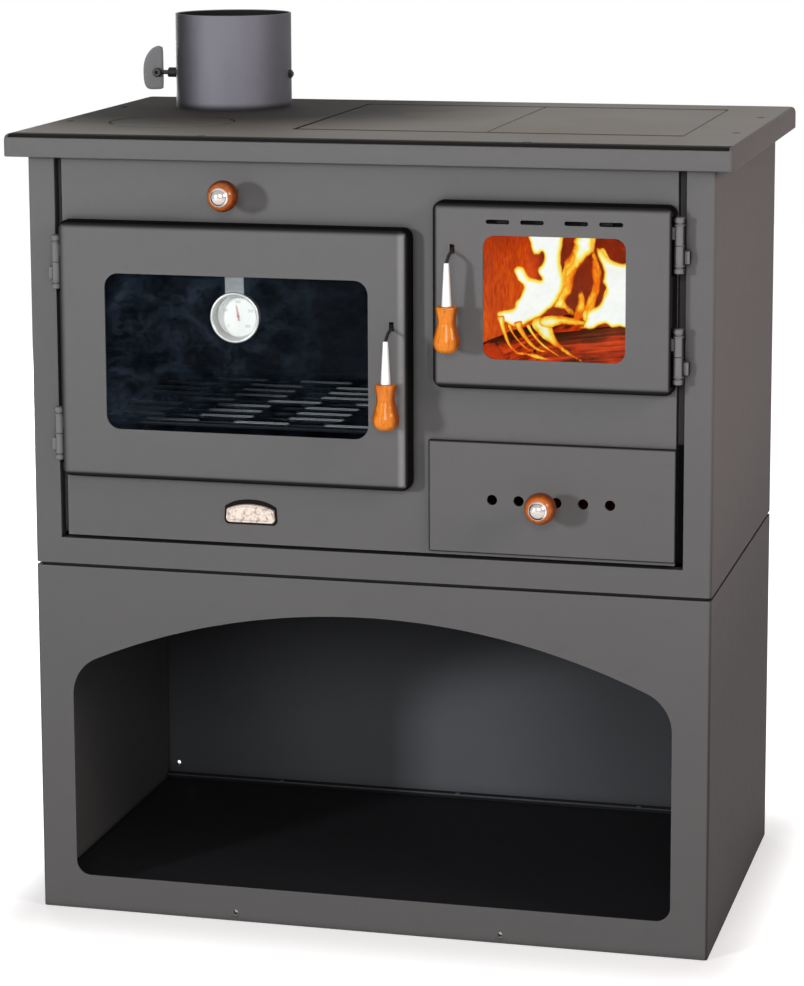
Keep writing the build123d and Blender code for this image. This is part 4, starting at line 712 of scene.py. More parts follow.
for name, piece in node.items():
    for holder in piece.material_slots:
        holder.material = own_finish.get(name) or finishes[slot_of[name]]


# ---------------------------------------------------------------- making pieces
def keep_piece(name, mesh, finish, body, replaced=()):
    """Stands a finished mesh in the scene as a piece that rides on a body."""
    mesh.name = name
    if finish:
        for each in finish if isinstance(finish, list) else [finish]:
            mesh.materials.append(each)
    piece = bpy.data.objects.new(name, mesh)
    bpy.context.scene.collection.objects.link(piece)
    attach(piece, body)
    if replaced:
        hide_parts(*replaced)
    return piece


def settle(name, shape, finish, body, replaced=(), sharp=math.radians(35)):
    """Turns a bmesh into a piece, with its faces outwards and smooth up to the sharp angle."""
    bmesh.ops.recalc_face_normals(shape, faces=shape.faces)
    for face in shape.faces:
        face.smooth = True
    for line in shape.edges:
        if len(line.link_faces) == 2 and line.calc_face_angle(0.0) > sharp:
            line.smooth = False
    mesh = bpy.data.meshes.new(name)
    shape.to_mesh(mesh)
    shape.free()
    return keep_piece(name, mesh, finish, body, replaced)


def eased(points, steps, closed=False):
    """A smooth line through the points (Catmull-Rom), steps to each span."""
    line = []
    count = len(points)
    spans = count if closed else count - 1
    for index in range(spans):
        places = [index - 1, index, index + 1, index + 2]
        places = [p % count for p in places] if closed else [min(max(p, 0), count - 1) for p in places]
        around = [points[p] for p in places]
        for step in range(steps):
            t = step / steps
            weights = (-0.5 * t + t * t - 0.5 * t ** 3, 1 - 2.5 * t * t + 1.5 * t ** 3,
                       0.5 * t + 2 * t * t - 1.5 * t ** 3, -0.5 * t * t + 0.5 * t ** 3)
            line.append(tuple(sum(w * p[axis] for w, p in zip(weights, around))
                              for axis in range(len(points[0]))))
    if not closed:
        line.append(points[-1])
    return line


def bridge(shape, first, second):
    """Faces between two rings of points, either of which may be one point."""
    count = max(len(first), len(second))
    made = []
    for step in range(count):
        after = (step + 1) % count
        corners = [first[step % len(first)], first[after % len(first)],
                   second[after % len(second)], second[step % len(second)]]
        distinct = list(dict.fromkeys(corners))
        if len(distinct) > 2:
            made.append(shape.faces.new(distinct))
    return made


def turned(shape, line, place, along, around=56, closed=False):
    """Adds a body turned on a lathe: line holds (distance along the axis, radius)."""
    along = Vector(along).normalized()
    side = along.orthogonal().normalized()
    other = along.cross(side)
    place = Vector(place)
    rings = []
    for distance, radius in line:
        centre = place + along * distance
        if radius < 1e-6:
            rings.append([shape.verts.new(centre)])
            continue
        rings.append([shape.verts.new(centre + radius * (math.cos(angle) * side + math.sin(angle) * other))
                      for angle in (2 * math.pi * step / around for step in range(around))])
    for first, second in zip(rings, rings[1:] + rings[:1] if closed else rings[1:]):
        bridge(shape, first, second)
    if not closed:
        for ring in (rings[0], rings[-1]):
            if len(ring) > 2:
                shape.faces.new(ring)
    return shape


def crisp(line, corner):
    """Doubles the line's inner points so that a turned edge there stays a tight round."""
    out = [line[0]]
    for before, here, after in zip(line, line[1:], line[2:]):
        for end in (before, after):
            gap = math.dist(here, end)
            share = min(corner / gap, 0.4)
            out.append(tuple(h + (e - h) * share for h, e in zip(here, end)))
    out.append(line[-1])
    return out


def millimetres(line):
    return [tuple(part * MM for part in point) for point in line]


def rounded_box(shape, low, high, round_edge):
    """A block with eased edges; its sizes are in millimetres."""
    made = bmesh.ops.create_cube(shape, size=1.0)["verts"]
    for vert in made:
        vert.co = Vector([h if part > 0 else l for part, l, h in zip(vert.co, low, high)]) * MM
    lines = list({line for vert in made for line in vert.link_edges})
    bmesh.ops.bevel(shape, geom=lines, offset=round_edge * MM, segments=2, affect="EDGES", profile=0.5)


def round_corners(left, right, low, high, corner, steps):
    """The centre and direction of each point round a box's four corners, from the upper right one."""
    for cx, cy, start in ((right - corner, high - corner, 0), (left + corner, high - corner, 90),
                          (left + corner, low + corner, 180), (right - corner, low + corner, 270)):
        for step in range(steps):
            angle = math.radians(start + 90 * step / (steps - 1))
            yield cx, cy, math.cos(angle), math.sin(angle)


def distance_to(outline, point):
    """How far a flat point is from a closed line of flat points."""
    best = 1e9
    for a, b in zip(outline, outline[1:] + outline[:1]):
        run = b - a
        t = max(0.0, min(1.0, (point - a).dot(run) / max(run.length_squared, 1e-12)))
        best = min(best, (a + run * t - point).length)
    return best


def filled(outline, spacing):
    """Points and triangles that fill a closed flat outline. The outline's own points come first."""
    outline = [Vector(point) for point in outline]
    xs, ys = [p.x for p in outline], [p.y for p in outline]
    inner = []
    row = 0
    y = min(ys) + spacing * 0.5
    while y < max(ys):
        x = min(xs) + (spacing * 0.5 if row % 2 else 0.0)
        while x < max(xs):
            point = Vector((x, y))
            crossings = 0
            for a, b in zip(outline, outline[1:] + outline[:1]):
                if (a.y > y) != (b.y > y) and x < a.x + (y - a.y) / (b.y - a.y) * (b.x - a.x):
                    crossings += 1
            if crossings % 2 and distance_to(outline, point) > spacing * 0.45:
                inner.append(point)
            x += spacing
        y += spacing * 0.866
        row += 1
    rim = [(i, (i + 1) % len(outline)) for i in range(len(outline))]
    points, _, faces = geometry.delaunay_2d_cdt(outline + inner, rim, [], 1, 1e-7)[:3]
    return points, faces, outline


class Steps(Tree):
    """A Geometry Nodes tree with named sizes, which ends in Realize Instances and Set Material."""

    kinds = {float: "NodeSocketFloat", int: "NodeSocketInt", bpy.types.Object: "NodeSocketObject"}

    def __init__(self, name, **sizes):
        super().__init__(bpy.data.node_groups.new(name, "GeometryNodeTree"))
        self.sizes = sizes
        face = self.tree.interface
        face.new_socket("Geometry", in_out="INPUT", socket_type="NodeSocketGeometry")
        for size, value in sizes.items():
            face.new_socket(size, in_out="INPUT", socket_type=self.kinds[type(value)])
        face.new_socket("Geometry", in_out="OUTPUT", socket_type="NodeSocketGeometry")
        self.given = self.tree.nodes.new("NodeGroupInput")

    def size(self, name):
        return Wire(self, self.given.outputs[name])

    def circle(self, corners, radius):
        return self.add("GeometryNodeCurvePrimitiveCircle", None,
                        {"Resolution": corners, "Radius": radius}, "Curve")

    def swept(self, curve, section, caps=False):
        """The section carried along the curve."""
        return self.add("GeometryNodeCurveToMesh", None,
                        {"Curve": curve, "Profile Curve": section, "Fill Caps": caps}, "Mesh")

    def moved(self, shape, place, turn=(0.0, 0.0, 0.0)):
        return self.add("GeometryNodeTransform", None,
                        {"Geometry": shape, "Translation": place, "Rotation": turn}, "Geometry")

    def spots(self):
        """The points of the source mesh."""
        return self.add("GeometryNodeMeshToPoints", None, {"Mesh": self.size("Geometry")}, "Points")

    def copied(self, shape, spots, aim=(0.0, 0.0, 0.0)):
        """One copy of the shape at each spot."""
        return self.add("GeometryNodeInstanceOnPoints", None,
                        {"Points": spots, "Instance": shape, "Rotation": aim}, "Instances")

    def grown(self, source, result, material):
        """Runs the tree on the source mesh and gives back its result as a plain mesh."""
        real = self.add("GeometryNodeRealizeInstances", None, {"Geometry": result}, "Geometry")
        dressed = self.add("GeometryNodeSetMaterial", None,
                           {"Geometry": real, "Material": material}, "Geometry")
        self.add("NodeGroupOutput", None, {"Geometry": dressed})
        base = bpy.data.objects.new("base", source)
        bpy.context.scene.collection.objects.link(base)
        change = base.modifiers.new("grown", "NODES")
        change.node_group = self.tree
        for item in self.tree.interface.items_tree:
            if item.in_out == "INPUT" and item.name in self.sizes:
                change[item.identifier] = self.sizes[item.name]
        mesh = bpy.data.meshes.new_from_object(base.evaluated_get(bpy.context.evaluated_depsgraph_get()))
        base.modifiers.remove(change)
        bpy.data.objects.remove(base)
        mesh.polygons.foreach_set("use_smooth", [True] * len(mesh.polygons))
        return mesh


def point_mesh(places, links=(), **vectors):
    """A mesh of bare points, with a stored direction for each where one is given."""
    mesh = bpy.data.meshes.new("places")
    mesh.from_pydata(places, links, [])
    for name, values in vectors.items():
        stored = mesh.attributes.new(name, "FLOAT_VECTOR", "POINT")
        stored.data.foreach_set("vector", [part for value in values for part in value])
    return mesh


# ---------------------------------------------------------------- handles and knobs
def make_handle(name, place, body):
    """One handle's brushed cone and its turned wood grip."""
    x, y, z = place
    cone = crisp([(0, 0), (0, ferrule_top), (ferrule_length, ferrule_foot), (ferrule_length, 0)], 0.4 * MM)
    settle(name + "_ferrule", turned(bmesh.new(), cone, (x, y, z), (0, 0, -1)),
           brushed_cone, body, [name + "_handle_cone"])
    length = grip_length
    body_line = eased([(0.015 * length, 0.97 * grip_neck), (0.05 * length, grip_neck),
                       (0.14 * length, 0.93 * grip_neck), (0.34 * length, grip_waist),
                       (0.56 * length, 0.5 * (grip_waist + grip_bulb)), (0.76 * length, grip_bulb),
                       (0.89 * length, 0.92 * grip_bulb), (0.965 * length, 0.74 * grip_bulb)], 7)
    line = ([(0.6 * MM, 0), (0.6 * MM, ferrule_foot + 0.5 * MM), (0, ferrule_foot + 1.1 * MM),
             (0, 0.92 * grip_neck)] + body_line + [(length, 0.58 * grip_bulb), (length, 0)])
    place = (x, y, z - ferrule_length - 0.15 * MM)
    settle(name + "_grip", turned(bmesh.new(), line, place, (0, 0, -1)),
           finishes["handle_wood"], body, [name + "_handle_grip"])


def make_cap(name, axis_xz, foot_y, top_y, body):
    """The knob's polished cap: a low dome with a rolled bead round it."""
    rise = foot_y - top_y
    line = [(0, 0), (0, cap_radius - 0.4 * MM), (0.3 * MM, cap_radius), (1.0 * MM, cap_radius - 0.1 * MM),
            (1.3 * MM, cap_radius - 0.7 * MM)]
    dome = cap_radius - 1.3 * MM
    line += [(1.1 * MM + (rise - 1.1 * MM) * math.sin(a), dome * math.cos(a))
             for a in (math.radians(9 * step) for step in range(11))]
    line[-1] = (rise, 0)
    settle(name, turned(bmesh.new(), line, (axis_xz[0], foot_y, axis_xz[1]), (0, -1, 0), 48),
           cap_chrome, body)


make_handle("oven", oven_latch_place, "oven_handle")
make_handle("fire", fire_latch_place, "fire_handle")
make_cap("bypass_cap", bypass_axis, -262.4 * MM, -268.9 * MM, "bypass")
make_cap("ash_cap", ash_axis, -266.4 * MM, -272.9 * MM, "ash_drawer")


# ---------------------------------------------------------------- hinges
def hinge_half(shape, x, z, up, outward):
    """Half a barrel with its cap, ring and lug. outward is the side that the lug goes to."""
    body, cap, half = 5.6, 6.2, 28.6
    line = [(0.2, 0), (0.2, body - 0.4), (0.6, body), (half - 8.6, body), (half - 8.4, cap - 0.3),
            (half - 8.1, cap), (half - 7.5, cap), (half - 7.2, cap - 0.3), (half - 7.0, body - 0.6),
            (half - 5.4, body - 0.6), (half - 5.2, cap - 0.2), (half - 4.8, cap), (half - 1.6, cap),
            (half - 0.5, cap - 0.6), (half, cap - 1.8), (half, 0)]
    turned(shape, millimetres(line), (x * MM, -230 * MM, z * MM), (0, 0, up), 40)
    reach = sorted((x + outward * 3.0, x + outward * (10.5 if up < 0 else 8.4)))
    depth = (-229.0, -220.2) if up < 0 else (-234.0, -227.5)
    low, high = sorted((z + up * 6.0, z + up * 19.0))
    rounded_box(shape, (reach[0], depth[0], low), (reach[1], depth[1], high), 0.9)


def make_hinges():
    """The barrels of the hinges on the casing, and the barrels and lugs on both doors."""
    posts = bmesh.new()
    for name, x, heights, side in (("oven", -331, (531, 715), -1), ("fire", 331, (637, 750), 1)):
        leaves = bmesh.new()
        for z in heights:
            hinge_half(posts, x, z, -1, side)
            hinge_half(leaves, x, z, 1, -side)
            turned(posts, millimetres([(0, 0), (0, 2.4), (20, 2.4), (20, 0)]), (x * MM, -230 * MM, z * MM),
                   (0, 0, 1), 20)
            edge = sorted((x - side * 6.8, x - side * 8.6))
            rounded_box(leaves, (edge[0], -236.0, z - 31), (edge[1], -224.7, z + 31), 0.4)
        settle(name + "_hinge_barrels", leaves, finishes["hinge_paint"], name + "_door",
               [name + "_hinge_leaves"])
    settle("hinge_barrels", posts, finishes["hinge_paint"], "stove", ["hinge_posts"])


make_hinges()


# ---------------------------------------------------------------- hob edge
def make_hob_edge():
    """The folded edge of the hob: a low lip in front and behind, rolled up to the plate at both ends."""
    low_lip = [(24, 826), (1.0, 826), (0.3, 826.3), (0, 827), (0, 845.2), (0.35, 846.1), (1.2, 846.5),
               (3.5, 846.5), (4.0, 846.1), (4.0, 838.0), (1.5, 838.0), (1.5, 827.5), (24, 827.5)]
    rolled = [(24, 826), (1.0, 826), (0.3, 826.3), (0, 827), (0, 843.4), (0.6, 846.4), (1.9, 848.6),
              (3.6, 849.7), (5.4, 849.9), (4.4, 838.0), (1.5, 838.0), (1.5, 827.5), (24, 827.5)]
    left, right, near, far, corner = -386.0, 386.0, -240.0, 245.0, 6.0
    shape = bmesh.new()
    rings = []
    for cx, cy, nx, ny in round_corners(left, right, near, far, corner, 9):
        side = abs(nx) ** 1.5
        ring = []
        for flat, up in zip(low_lip, rolled):
            inset = flat[0] + (up[0] - flat[0]) * side
            z = flat[1] + (up[1] - flat[1]) * side
            if inset > corner:
                x = cx + nx * corner - math.copysign(inset, cx)
                y = cy + ny * corner - math.copysign(inset, cy)
            else:
                x, y = cx + nx * (corner - inset), cy + ny * (corner - inset)
            ring.append(shape.verts.new(Vector((x, y, z)) * MM))
        rings.append(ring)
    for first, second in zip(rings, rings[1:] + rings[:1]):
        bridge(shape, first, second)
    settle("hob_edge", shape, finishes["front_paint"], "stove", ["hob_rim"])


make_hob_edge()


# ---------------------------------------------------------------- flue
def make_flue():
    """The plain round spigot with its rolled top, and the paddle, coil and end of the damper."""
    low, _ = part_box("flue_spigot")
    outer, inner = 66.2 * MM, 63.5 * MM
    top = 957 * MM
    edge = 0.8 * MM
    wall = [(low.z, outer), (hob_top - 0.2 * MM, outer), (hob_top + 0.2 * MM, outer + 0.5 * MM),
            (hob_top + 0.9 * MM, outer), (top - edge, outer), (top - 0.2 * MM, outer - edge * 0.3),
            (top, outer - edge), (top, inner + edge), (top - edge, inner), (low.z, inner)]
    shape = turned(bmesh.new(), wall, (*flue_place, 0), (0, 0, 1), 96, closed=True)
    shape.faces.ensure_lookup_table()
    for face in shape.faces:
        middle = face.calc_center_median()
        if math.dist(middle.xy, flue_place) < inner + 0.1 * MM:
            face.material_index = 1
    settle("flue_pipe", shape, [finishes["flue_paint"], flue_soot], "stove", ["flue_spigot"])

    outline = eased([(-329.4, 914.0), (-331.6, 917.2), (-336.0, 917.9), (-343.0, 914.2), (-349.4, 905.8),
                     (-352.6, 895.0), (-352.6, 880.0), (-350.6, 872.0), (-346.4, 868.4), (-338.0, 868.0),
                     (-331.0, 868.8), (-329.2, 872.4), (-329.0, 892.0)], 5, closed=True)
    points, faces, rim = filled([(x * MM, z * MM) for x, z in outline], 2.0 * MM)
    shape = bmesh.new()
    sheets = []
    for side in (-1, 1):
        sheet = []
        for point in points:
            inside = min(distance_to(rim, point) / (1.2 * MM), 1.0)
            dent = 0.22 * MM * noise.noise(Vector((point.x, point.y, side)) * 420)
            thick = 0.9 * MM + 0.5 * MM * inside + dent * inside
            sheet.append(shape.verts.new((point.x, flue_place[1] + side * thick, point.y)))
        sheets.append(sheet)
        for face in faces:
            shape.faces.new([sheet[i] for i in face])
    bridge(shape, *[sheet[:len(rim)] for sheet in sheets])
    settle("damper_paddle", shape, hammered_steel, "flue_damper", ["damper_lever"])

    rod = bmesh.new()
    turned(rod, millimetres([(0, 0), (0, 2.1), (0.4, 2.5), (158.2, 2.5), (158.6, 2.1), (158.6, 0)]),
           (-331.6 * MM, flue_place[1], damper_height), (1, 0, 0), 24)
    for near, far in ((-184.0, -174.4), (-313.9, -309.9)):
        turned(rod, millimetres([(0, 0), (0, 4.3), (0.5, 4.9), (far - near - 0.5, 4.9), (far - near, 4.3),
                                 (far - near, 0)]), (near * MM, flue_place[1], damper_height), (1, 0, 0), 6)
    settle("damper_rod", rod, finishes["dark_steel"], "flue_damper", ["damper_spindle"])

    end = bmesh.new()
    eye = millimetres([(0, 2.0), (0, 4.2), (0.8, 5.2), (4.2, 5.2), (5.0, 4.2), (5.0, 2.0), (3.4, 1.4),
                       (1.6, 1.4)])
    turned(end, eye, (-334.5 * MM, 126.2 * MM, damper_height), (0, -1, 0), 32, closed=True)
    turned(end, millimetres([(0, 0), (0, 2.3), (14, 2.3), (14, 0)]),
           (-336.0 * MM, 126.4 * MM, damper_height), (1, 0.12, 0), 24)
    settle("damper_end", end, finishes["dark_steel"], "flue_damper")

    coil = Steps("coil", turns=5.5, radius=4.9 * MM, length=9.4 * MM, wire=0.85 * MM)
    spiral = coil.add("GeometryNodeCurveSpiral", None, {
        "Resolution": 26, "Rotations": coil.size("turns"), "Start Radius": coil.size("radius"),
        "End Radius": coil.size("radius"), "Height": coil.size("length")}, "Curve")
    tube = coil.swept(spiral, coil.circle(10, coil.size("wire")), caps=True)
    laid = coil.moved(tube, (-322.0 * MM, flue_place[1], damper_height), (0.0, math.pi / 2, 0.0))
    mesh = coil.grown(point_mesh([(0, 0, 0)]), laid, finishes["dark_steel"])
    keep_piece("damper_coil", mesh, None, "flue_damper", ["damper_spring"])


make_flue()


# ---------------------------------------------------------------- thermometer
def make_gauge():
    """The oven thermometer: a deep pressed cup with a rolled rim, hung from a strap behind the glass."""
    x, y, z = gauge_place
    shape = bmesh.new()
    depth = gauge_depth
    cup = millimetres([(13.9, 0), (13.9, 21.9), (13.2, 22.1), (3.2, 22.7), (1.0, 22.9), (0.3, 23.4), (0, 24.2),
                       (0.1, 25.1), (0.6, 25.8), (1.4, 26.1), (2.3, 25.9), (2.9, 25.2), (14.3, 23.8)])
    cup = [(deep, radius * 1.03) for deep, radius in cup + [(depth, 22.6 * MM), (depth, 0)]]
    turned(shape, cup, (x, y, z), (0, 1, 0), 72)
    cup_faces = len(shape.faces)
    half = 10.2 * MM
    path = millimetres([(-231.4, 683.0), (-231.6, 711.5), (-230.6, 713.6), (-226.6, 714.2), (-225.3, 715.6),
                        (-225.1, 723.8)])
    rings = []
    for index, (py, pz) in enumerate(path):
        before, after = path[max(index - 1, 0)], path[min(index + 1, len(path) - 1)]
        run = Vector((after[0] - before[0], after[1] - before[1])).normalized()
        out = Vector((-run.y, run.x)) * 0.45 * MM
        lip = 0.5 * MM
        section = [(-half, out * 1.9), (-half + lip, out * 1.9), (-half + 2 * lip, out), (half - 2 * lip, out),
                   (half - lip, out * 1.9), (half, out * 1.9), (half, -out), (-half, -out)]
        rings.append([shape.verts.new((x + side, py + shift.x, pz + shift.y)) for side, shift in section])
    for first, second in zip(rings, rings[1:]):
        bridge(shape, first, second)
    shape.faces.new(rings[0])
    shape.faces.new(rings[-1])
    shape.faces.ensure_lookup_table()
    for face in shape.faces[cup_faces:]:
        face.material_index = 1
    settle("gauge_cup", shape, [gauge_steel, strap_steel], "oven_door", ["thermo_case"])

    dial_y = y + 13.3 * MM
    disc = turned(bmesh.new(), [(0, 0), (0, dial_radius - 0.6 * MM), (0.3 * MM, dial_radius - 0.1 * MM),
                                (0.5 * MM, dial_radius - 0.1 * MM), (0.5 * MM, 0)], (x, dial_y, z), (0, 1, 0), 72)
    settle("gauge_dial", disc, finishes["dial_white"], "oven_door", ["thermo_dial"])

    scale = Steps("dial_scale", ticks=41, radius=dial_radius - 2.2 * MM, width=0.28 * MM, length=1.6 * MM)
    arc = scale.add("GeometryNodeCurveArc", {"mode": "RADIUS"}, {
        "Resolution": scale.size("ticks"), "Radius": scale.size("radius"), "Start Angle": math.radians(-45),
        "Sweep Angle": math.radians(270)}, "Curve")
    spots = scale.add("GeometryNodeCurveToPoints", {"mode": "EVALUATED"}, {"Curve": arc}, "Points")
    turn = scale.add("GeometryNodeInputPosition", None, None, "Position")
    aim = scale.add("FunctionNodeAlignRotationToVector", {"axis": "X"}, {"Vector": turn}, "Rotation")
    box_size = scale.add("ShaderNodeCombineXYZ", None, {
        "X": scale.size("length"), "Y": scale.size("width"), "Z": scale.size("width")}, "Vector")
    tick = scale.add("GeometryNodeMeshCube", None, {"Size": box_size}, "Mesh")
    ring = scale.copied(tick, spots, aim)
    raised = scale.moved(ring, (x, dial_y - 0.1 * MM, z), (math.pi / 2, 0.0, 0.0))
    ticks = scale.grown(point_mesh([(0, 0, 0)]), raised, dial_ink)
    marks = bmesh.new()
    marks.from_mesh(ticks)
    for value, degrees in ((0, 225), (100, 157.5), (200, 90), (300, 22.5), (400, -45)):
        words = bpy.data.curves.new("number", "FONT")
        words.body = str(value)
        words.size = 4.2 * MM
        words.extrude = 0.06 * MM
        words.align_x, words.align_y = "CENTER", "CENTER"
        holder = bpy.data.objects.new("number", words)
        bpy.context.scene.collection.objects.link(holder)
        flat = bpy.data.meshes.new_from_object(holder.evaluated_get(bpy.context.evaluated_depsgraph_get()))
        bpy.data.objects.remove(holder)
        reach = dial_radius - 7.0 * MM
        angle = math.radians(degrees)
        at = (x + reach * math.cos(angle), dial_y - 0.1 * MM, z + reach * math.sin(angle))
        flat.transform(Matrix.Translation(at) @ Matrix.Rotation(math.pi / 2, 4, "X"))
        marks.from_mesh(flat)
    settle("gauge_marks", marks, dial_ink, "oven_door")

    pointer = bmesh.new()
    tilt = math.radians(10)
    along = Vector((-math.sin(tilt), 0, math.cos(tilt)))
    across = Vector((math.cos(tilt), 0, math.sin(tilt)))
    pivot = Vector((x, dial_y - 1.1 * MM, z))
    edge = millimetres([(-5.0, 0.6), (-4.5, 0.8), (0, 0.6), (10.5, 0.35), (12.5, 0.0)])
    outline = [(a, b) for a, b in edge] + [(a, -b) for a, b in reversed(edge[:-1])]
    for sheet in (0, 1):
        lift = Vector((0, (sheet - 0.5) * 0.5 * MM, 0))
        verts = [pointer.verts.new(pivot + along * a + across * b + lift) for a, b in outline]
        pointer.faces.new(verts)
        if sheet:
            bridge(pointer, first, verts)
        first = verts
    turned(pointer, millimetres([(0, 0), (0, 1.3), (0.9, 1.2), (1.3, 0.7), (1.3, 0)]), pivot, (0, -1, 0), 28)
    settle("gauge_pointer", pointer, finishes["needle_red"], "thermo_needle", ["thermo_needle"])


make_gauge()


# ---------------------------------------------------------------- badge
def make_badge():
    """A small cast plate with an arched top: raised border, bare hammered field."""
    left, right, foot, side_top, crown, corner = -150.6, -96.8, 441.4, 455.6, 461.2, 4.6
    middle = (left + right) / 2
    line = []
    for cx, start in ((left + corner, 180), (right - corner, 270)):
        line += [(cx + corner * math.cos(math.radians(start + 15 * s)),
                  foot + corner + corner * math.sin(math.radians(start + 15 * s))) for s in range(7)]
    for share in [1.0 - s / 11 for s in range(12)]:
        spread = (2 * share - 1) * (right - middle - 0.9)
        line.append((middle + spread, side_top + (crown - side_top) * (1 - (abs(2 * share - 1)) ** 2.2)))

    def pulled(inset):
        cx, cz = middle, (foot + crown) / 2
        return [(x - (x - cx) / abs(right - middle) * inset, z - (z - cz) / abs(crown - cz) * inset)
                for x, z in line]

    shape = bmesh.new()
    rings = []
    for inset, proud in ((0, 0.0), (0.0, 2.2), (0.4, 3.0), (1.1, 3.4), (1.9, 3.3), (2.5, 2.5), (2.9, 2.0)):
        rings.append([shape.verts.new(Vector((px, -220.0 - proud, pz)) * MM) for px, pz in pulled(inset)])
    for first, second in zip(rings, rings[1:]):
        bridge(shape, first, second)
    shape.faces.new(rings[0])
    random.seed(11)
    dents = [Vector((random.uniform(left, right), random.uniform(foot, crown))) for _ in range(190)]
    points, faces, _ = filled([(px, pz) for px, pz in pulled(2.9)], 0.75)
    field = rings[-1] + [None] * (len(points) - len(rings[-1]))
    for index in range(len(rings[-1]), len(points)):
        point = points[index]
        near = min((point - dent).length for dent in dents)
        field[index] = shape.verts.new(Vector((point.x, -221.9 - 0.30 * min(near, 2.2) / 2.2, point.y)) * MM)
    for face in faces:
        shape.faces.new([field[i] for i in face])
    settle("badge_plate", shape, finishes["badge_metal"], "stove", ["badge"], math.radians(60))

    # painted shadow: a dark ring round the badge, widest over its arched top
    shadow_ring = bmesh.new()
    middle_z = (foot + crown) / 2
    rings = []
    for grow, crest, proud in ((-0.6, 0.0, 0.0), (-0.6, 0.0, 0.7), (-1.9, 1.9, 0.9), (-2.4, 2.6, 0.0)):
        ring = []
        for px, pz in pulled(grow):
            upper = max(0.0, min(1.0, (pz - middle_z) / (crown - middle_z)))
            ring.append(shadow_ring.verts.new(Vector((px, -220.0 - proud, pz + crest * upper ** 0.6)) * MM))
        rings.append(ring)
    for first, second in zip(rings, rings[1:] + rings[:1]):
        bridge(shadow_ring, first, second)
    settle("badge_surround", shadow_ring, smoked_recess, "stove")


make_badge()


# ---------------------------------------------------------------- screws
def make_screws():
    """One domed head with a driver recess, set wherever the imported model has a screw."""
    head = turned(bmesh.new(), millimetres([(1.1, 0), (1.1, 1.3), (2.2, 1.55), (2.1, 2.3), (1.6, 3.3), (0.8, 4.0),
                                            (0.0, 4.2), (0.0, 0)]), (0, 0, 0), (0, 0, 1), 24)
    bmesh.ops.recalc_face_normals(head, faces=head.faces)
    mesh = bpy.data.meshes.new("screw_head")
    head.to_mesh(mesh)
    head.free()
    pattern = bpy.data.objects.new("screw_head", mesh)
    bpy.context.scene.collection.objects.link(pattern)

    merged = bmesh.new()
    merged.from_mesh(node["case_screws"].data)
    bmesh.ops.remove_doubles(merged, verts=merged.verts, dist=0.01 * MM)
    places, facings = [], []
    left = set(merged.verts)
    while left:
        group, heap = [], [left.pop()]
        while heap:
            vert = heap.pop()
            group.append(vert.co)
            for line in vert.link_edges:
                other = line.other_vert(vert)
                if other in left:
                    left.remove(other)
                    heap.append(other)
        low = Vector([min(p[i] for p in group) for i in range(3)])
        high = Vector([max(p[i] for p in group) for i in range(3)])
        middle = (low + high) / 2
        thin = min(range(3), key=lambda i: high[i] - low[i])
        way = -1 if thin == 1 and middle.y < -0.2 else 1
        middle[thin] = low[thin] if way > 0 else high[thin]
        places.append(middle)
        facings.append([way if i == thin else 0 for i in range(3)])
    merged.free()

    tree = Steps("screws", head=pattern)
    facing = tree.add("GeometryNodeInputNamedAttribute", {"data_type": "FLOAT_VECTOR"},
                      {"Name": "facing"}, "Attribute")
    aim = tree.add("FunctionNodeAlignRotationToVector", {"axis": "Z"}, {"Vector": facing}, "Rotation")
    one = tree.add("GeometryNodeObjectInfo", None, {"Object": tree.size("head")}, "Geometry")
    mesh = tree.grown(point_mesh(places, facing=facings), tree.copied(one, tree.spots(), aim), screw_steel)
    bpy.data.objects.remove(pattern)
    keep_piece("screw_heads", mesh, None, "stove", ["case_screws"])


make_screws()


# ---------------------------------------------------------------- rope seals
def rope_round(left, right, low, high, corner, strand, pitch, middle_y, squash):
    """A three-strand rope laid round a rounded rectangle and pressed flat."""
    path = [Vector((cx + corner * dx, middle_y, cz + corner * dz)) * MM
            for cx, cz, dx, dz in round_corners(left, right, low, high, corner, 6)]
    links = [(i, (i + 1) % len(path)) for i in range(len(path))]
    rope = Steps("rope", strand=strand * MM, pitch=pitch * MM)
    line = rope.add("GeometryNodeMeshToCurve", None, {"Mesh": rope.size("Geometry")}, "Curve")
    fine = rope.add("GeometryNodeResampleCurve", {"mode": "LENGTH"},
                    {"Curve": line, "Length": 1.6 * MM}, "Curve")
    run = rope.add("GeometryNodeSplineParameter", None, None, "Length")
    twisted = rope.add("GeometryNodeSetCurveTilt", None, {
        "Curve": fine, "Tilt": run / rope.size("pitch") * (2 * math.pi)}, "Curve")
    strands = []
    for third in range(3):
        angle = 2 * math.pi * third / 3
        shift = rope.add("ShaderNodeCombineXYZ", None, {
            "X": rope.size("strand") * (1.12 * math.cos(angle)),
            "Y": rope.size("strand") * (1.12 * math.sin(angle))}, "Vector")
        strands.append(rope.moved(rope.circle(8, rope.size("strand")), shift))
    section = rope.add("GeometryNodeJoinGeometry", None, {"Geometry": strands}, "Geometry")
    mesh = rope.grown(point_mesh(path, links), rope.swept(twisted, section), finishes["rope_seal"])
    for vert in mesh.vertices:
        vert.co.y = middle_y * MM + (vert.co.y - middle_y * MM) * squash
    return mesh


def make_seals(name, box, window, body):
    """One door's two ropes, along its border and round its window."""
    left, right, low, high = box
    both = bmesh.new()
    both.from_mesh(rope_round(left + 7.8, right - 7.8, low + 7.8, high - 7.8, 6.0, 1.52, 17.0, -221.7, 0.40))
    left, right, low, high = window
    both.from_mesh(rope_round(left - 6, right + 6, low - 6, high + 6, 8.0, 1.5, 14.0, -238.9, 0.17))
    settle(name + "_rope_seals", both, finishes["rope_seal"], body, [name + "_seals"])


make_seals("oven_door", oven_door_box, (-275, 11, 540, 706), "oven_door")
make_seals("fire_door", fire_door_box, (132, 279, 629.5, 756.5), "fire_door")


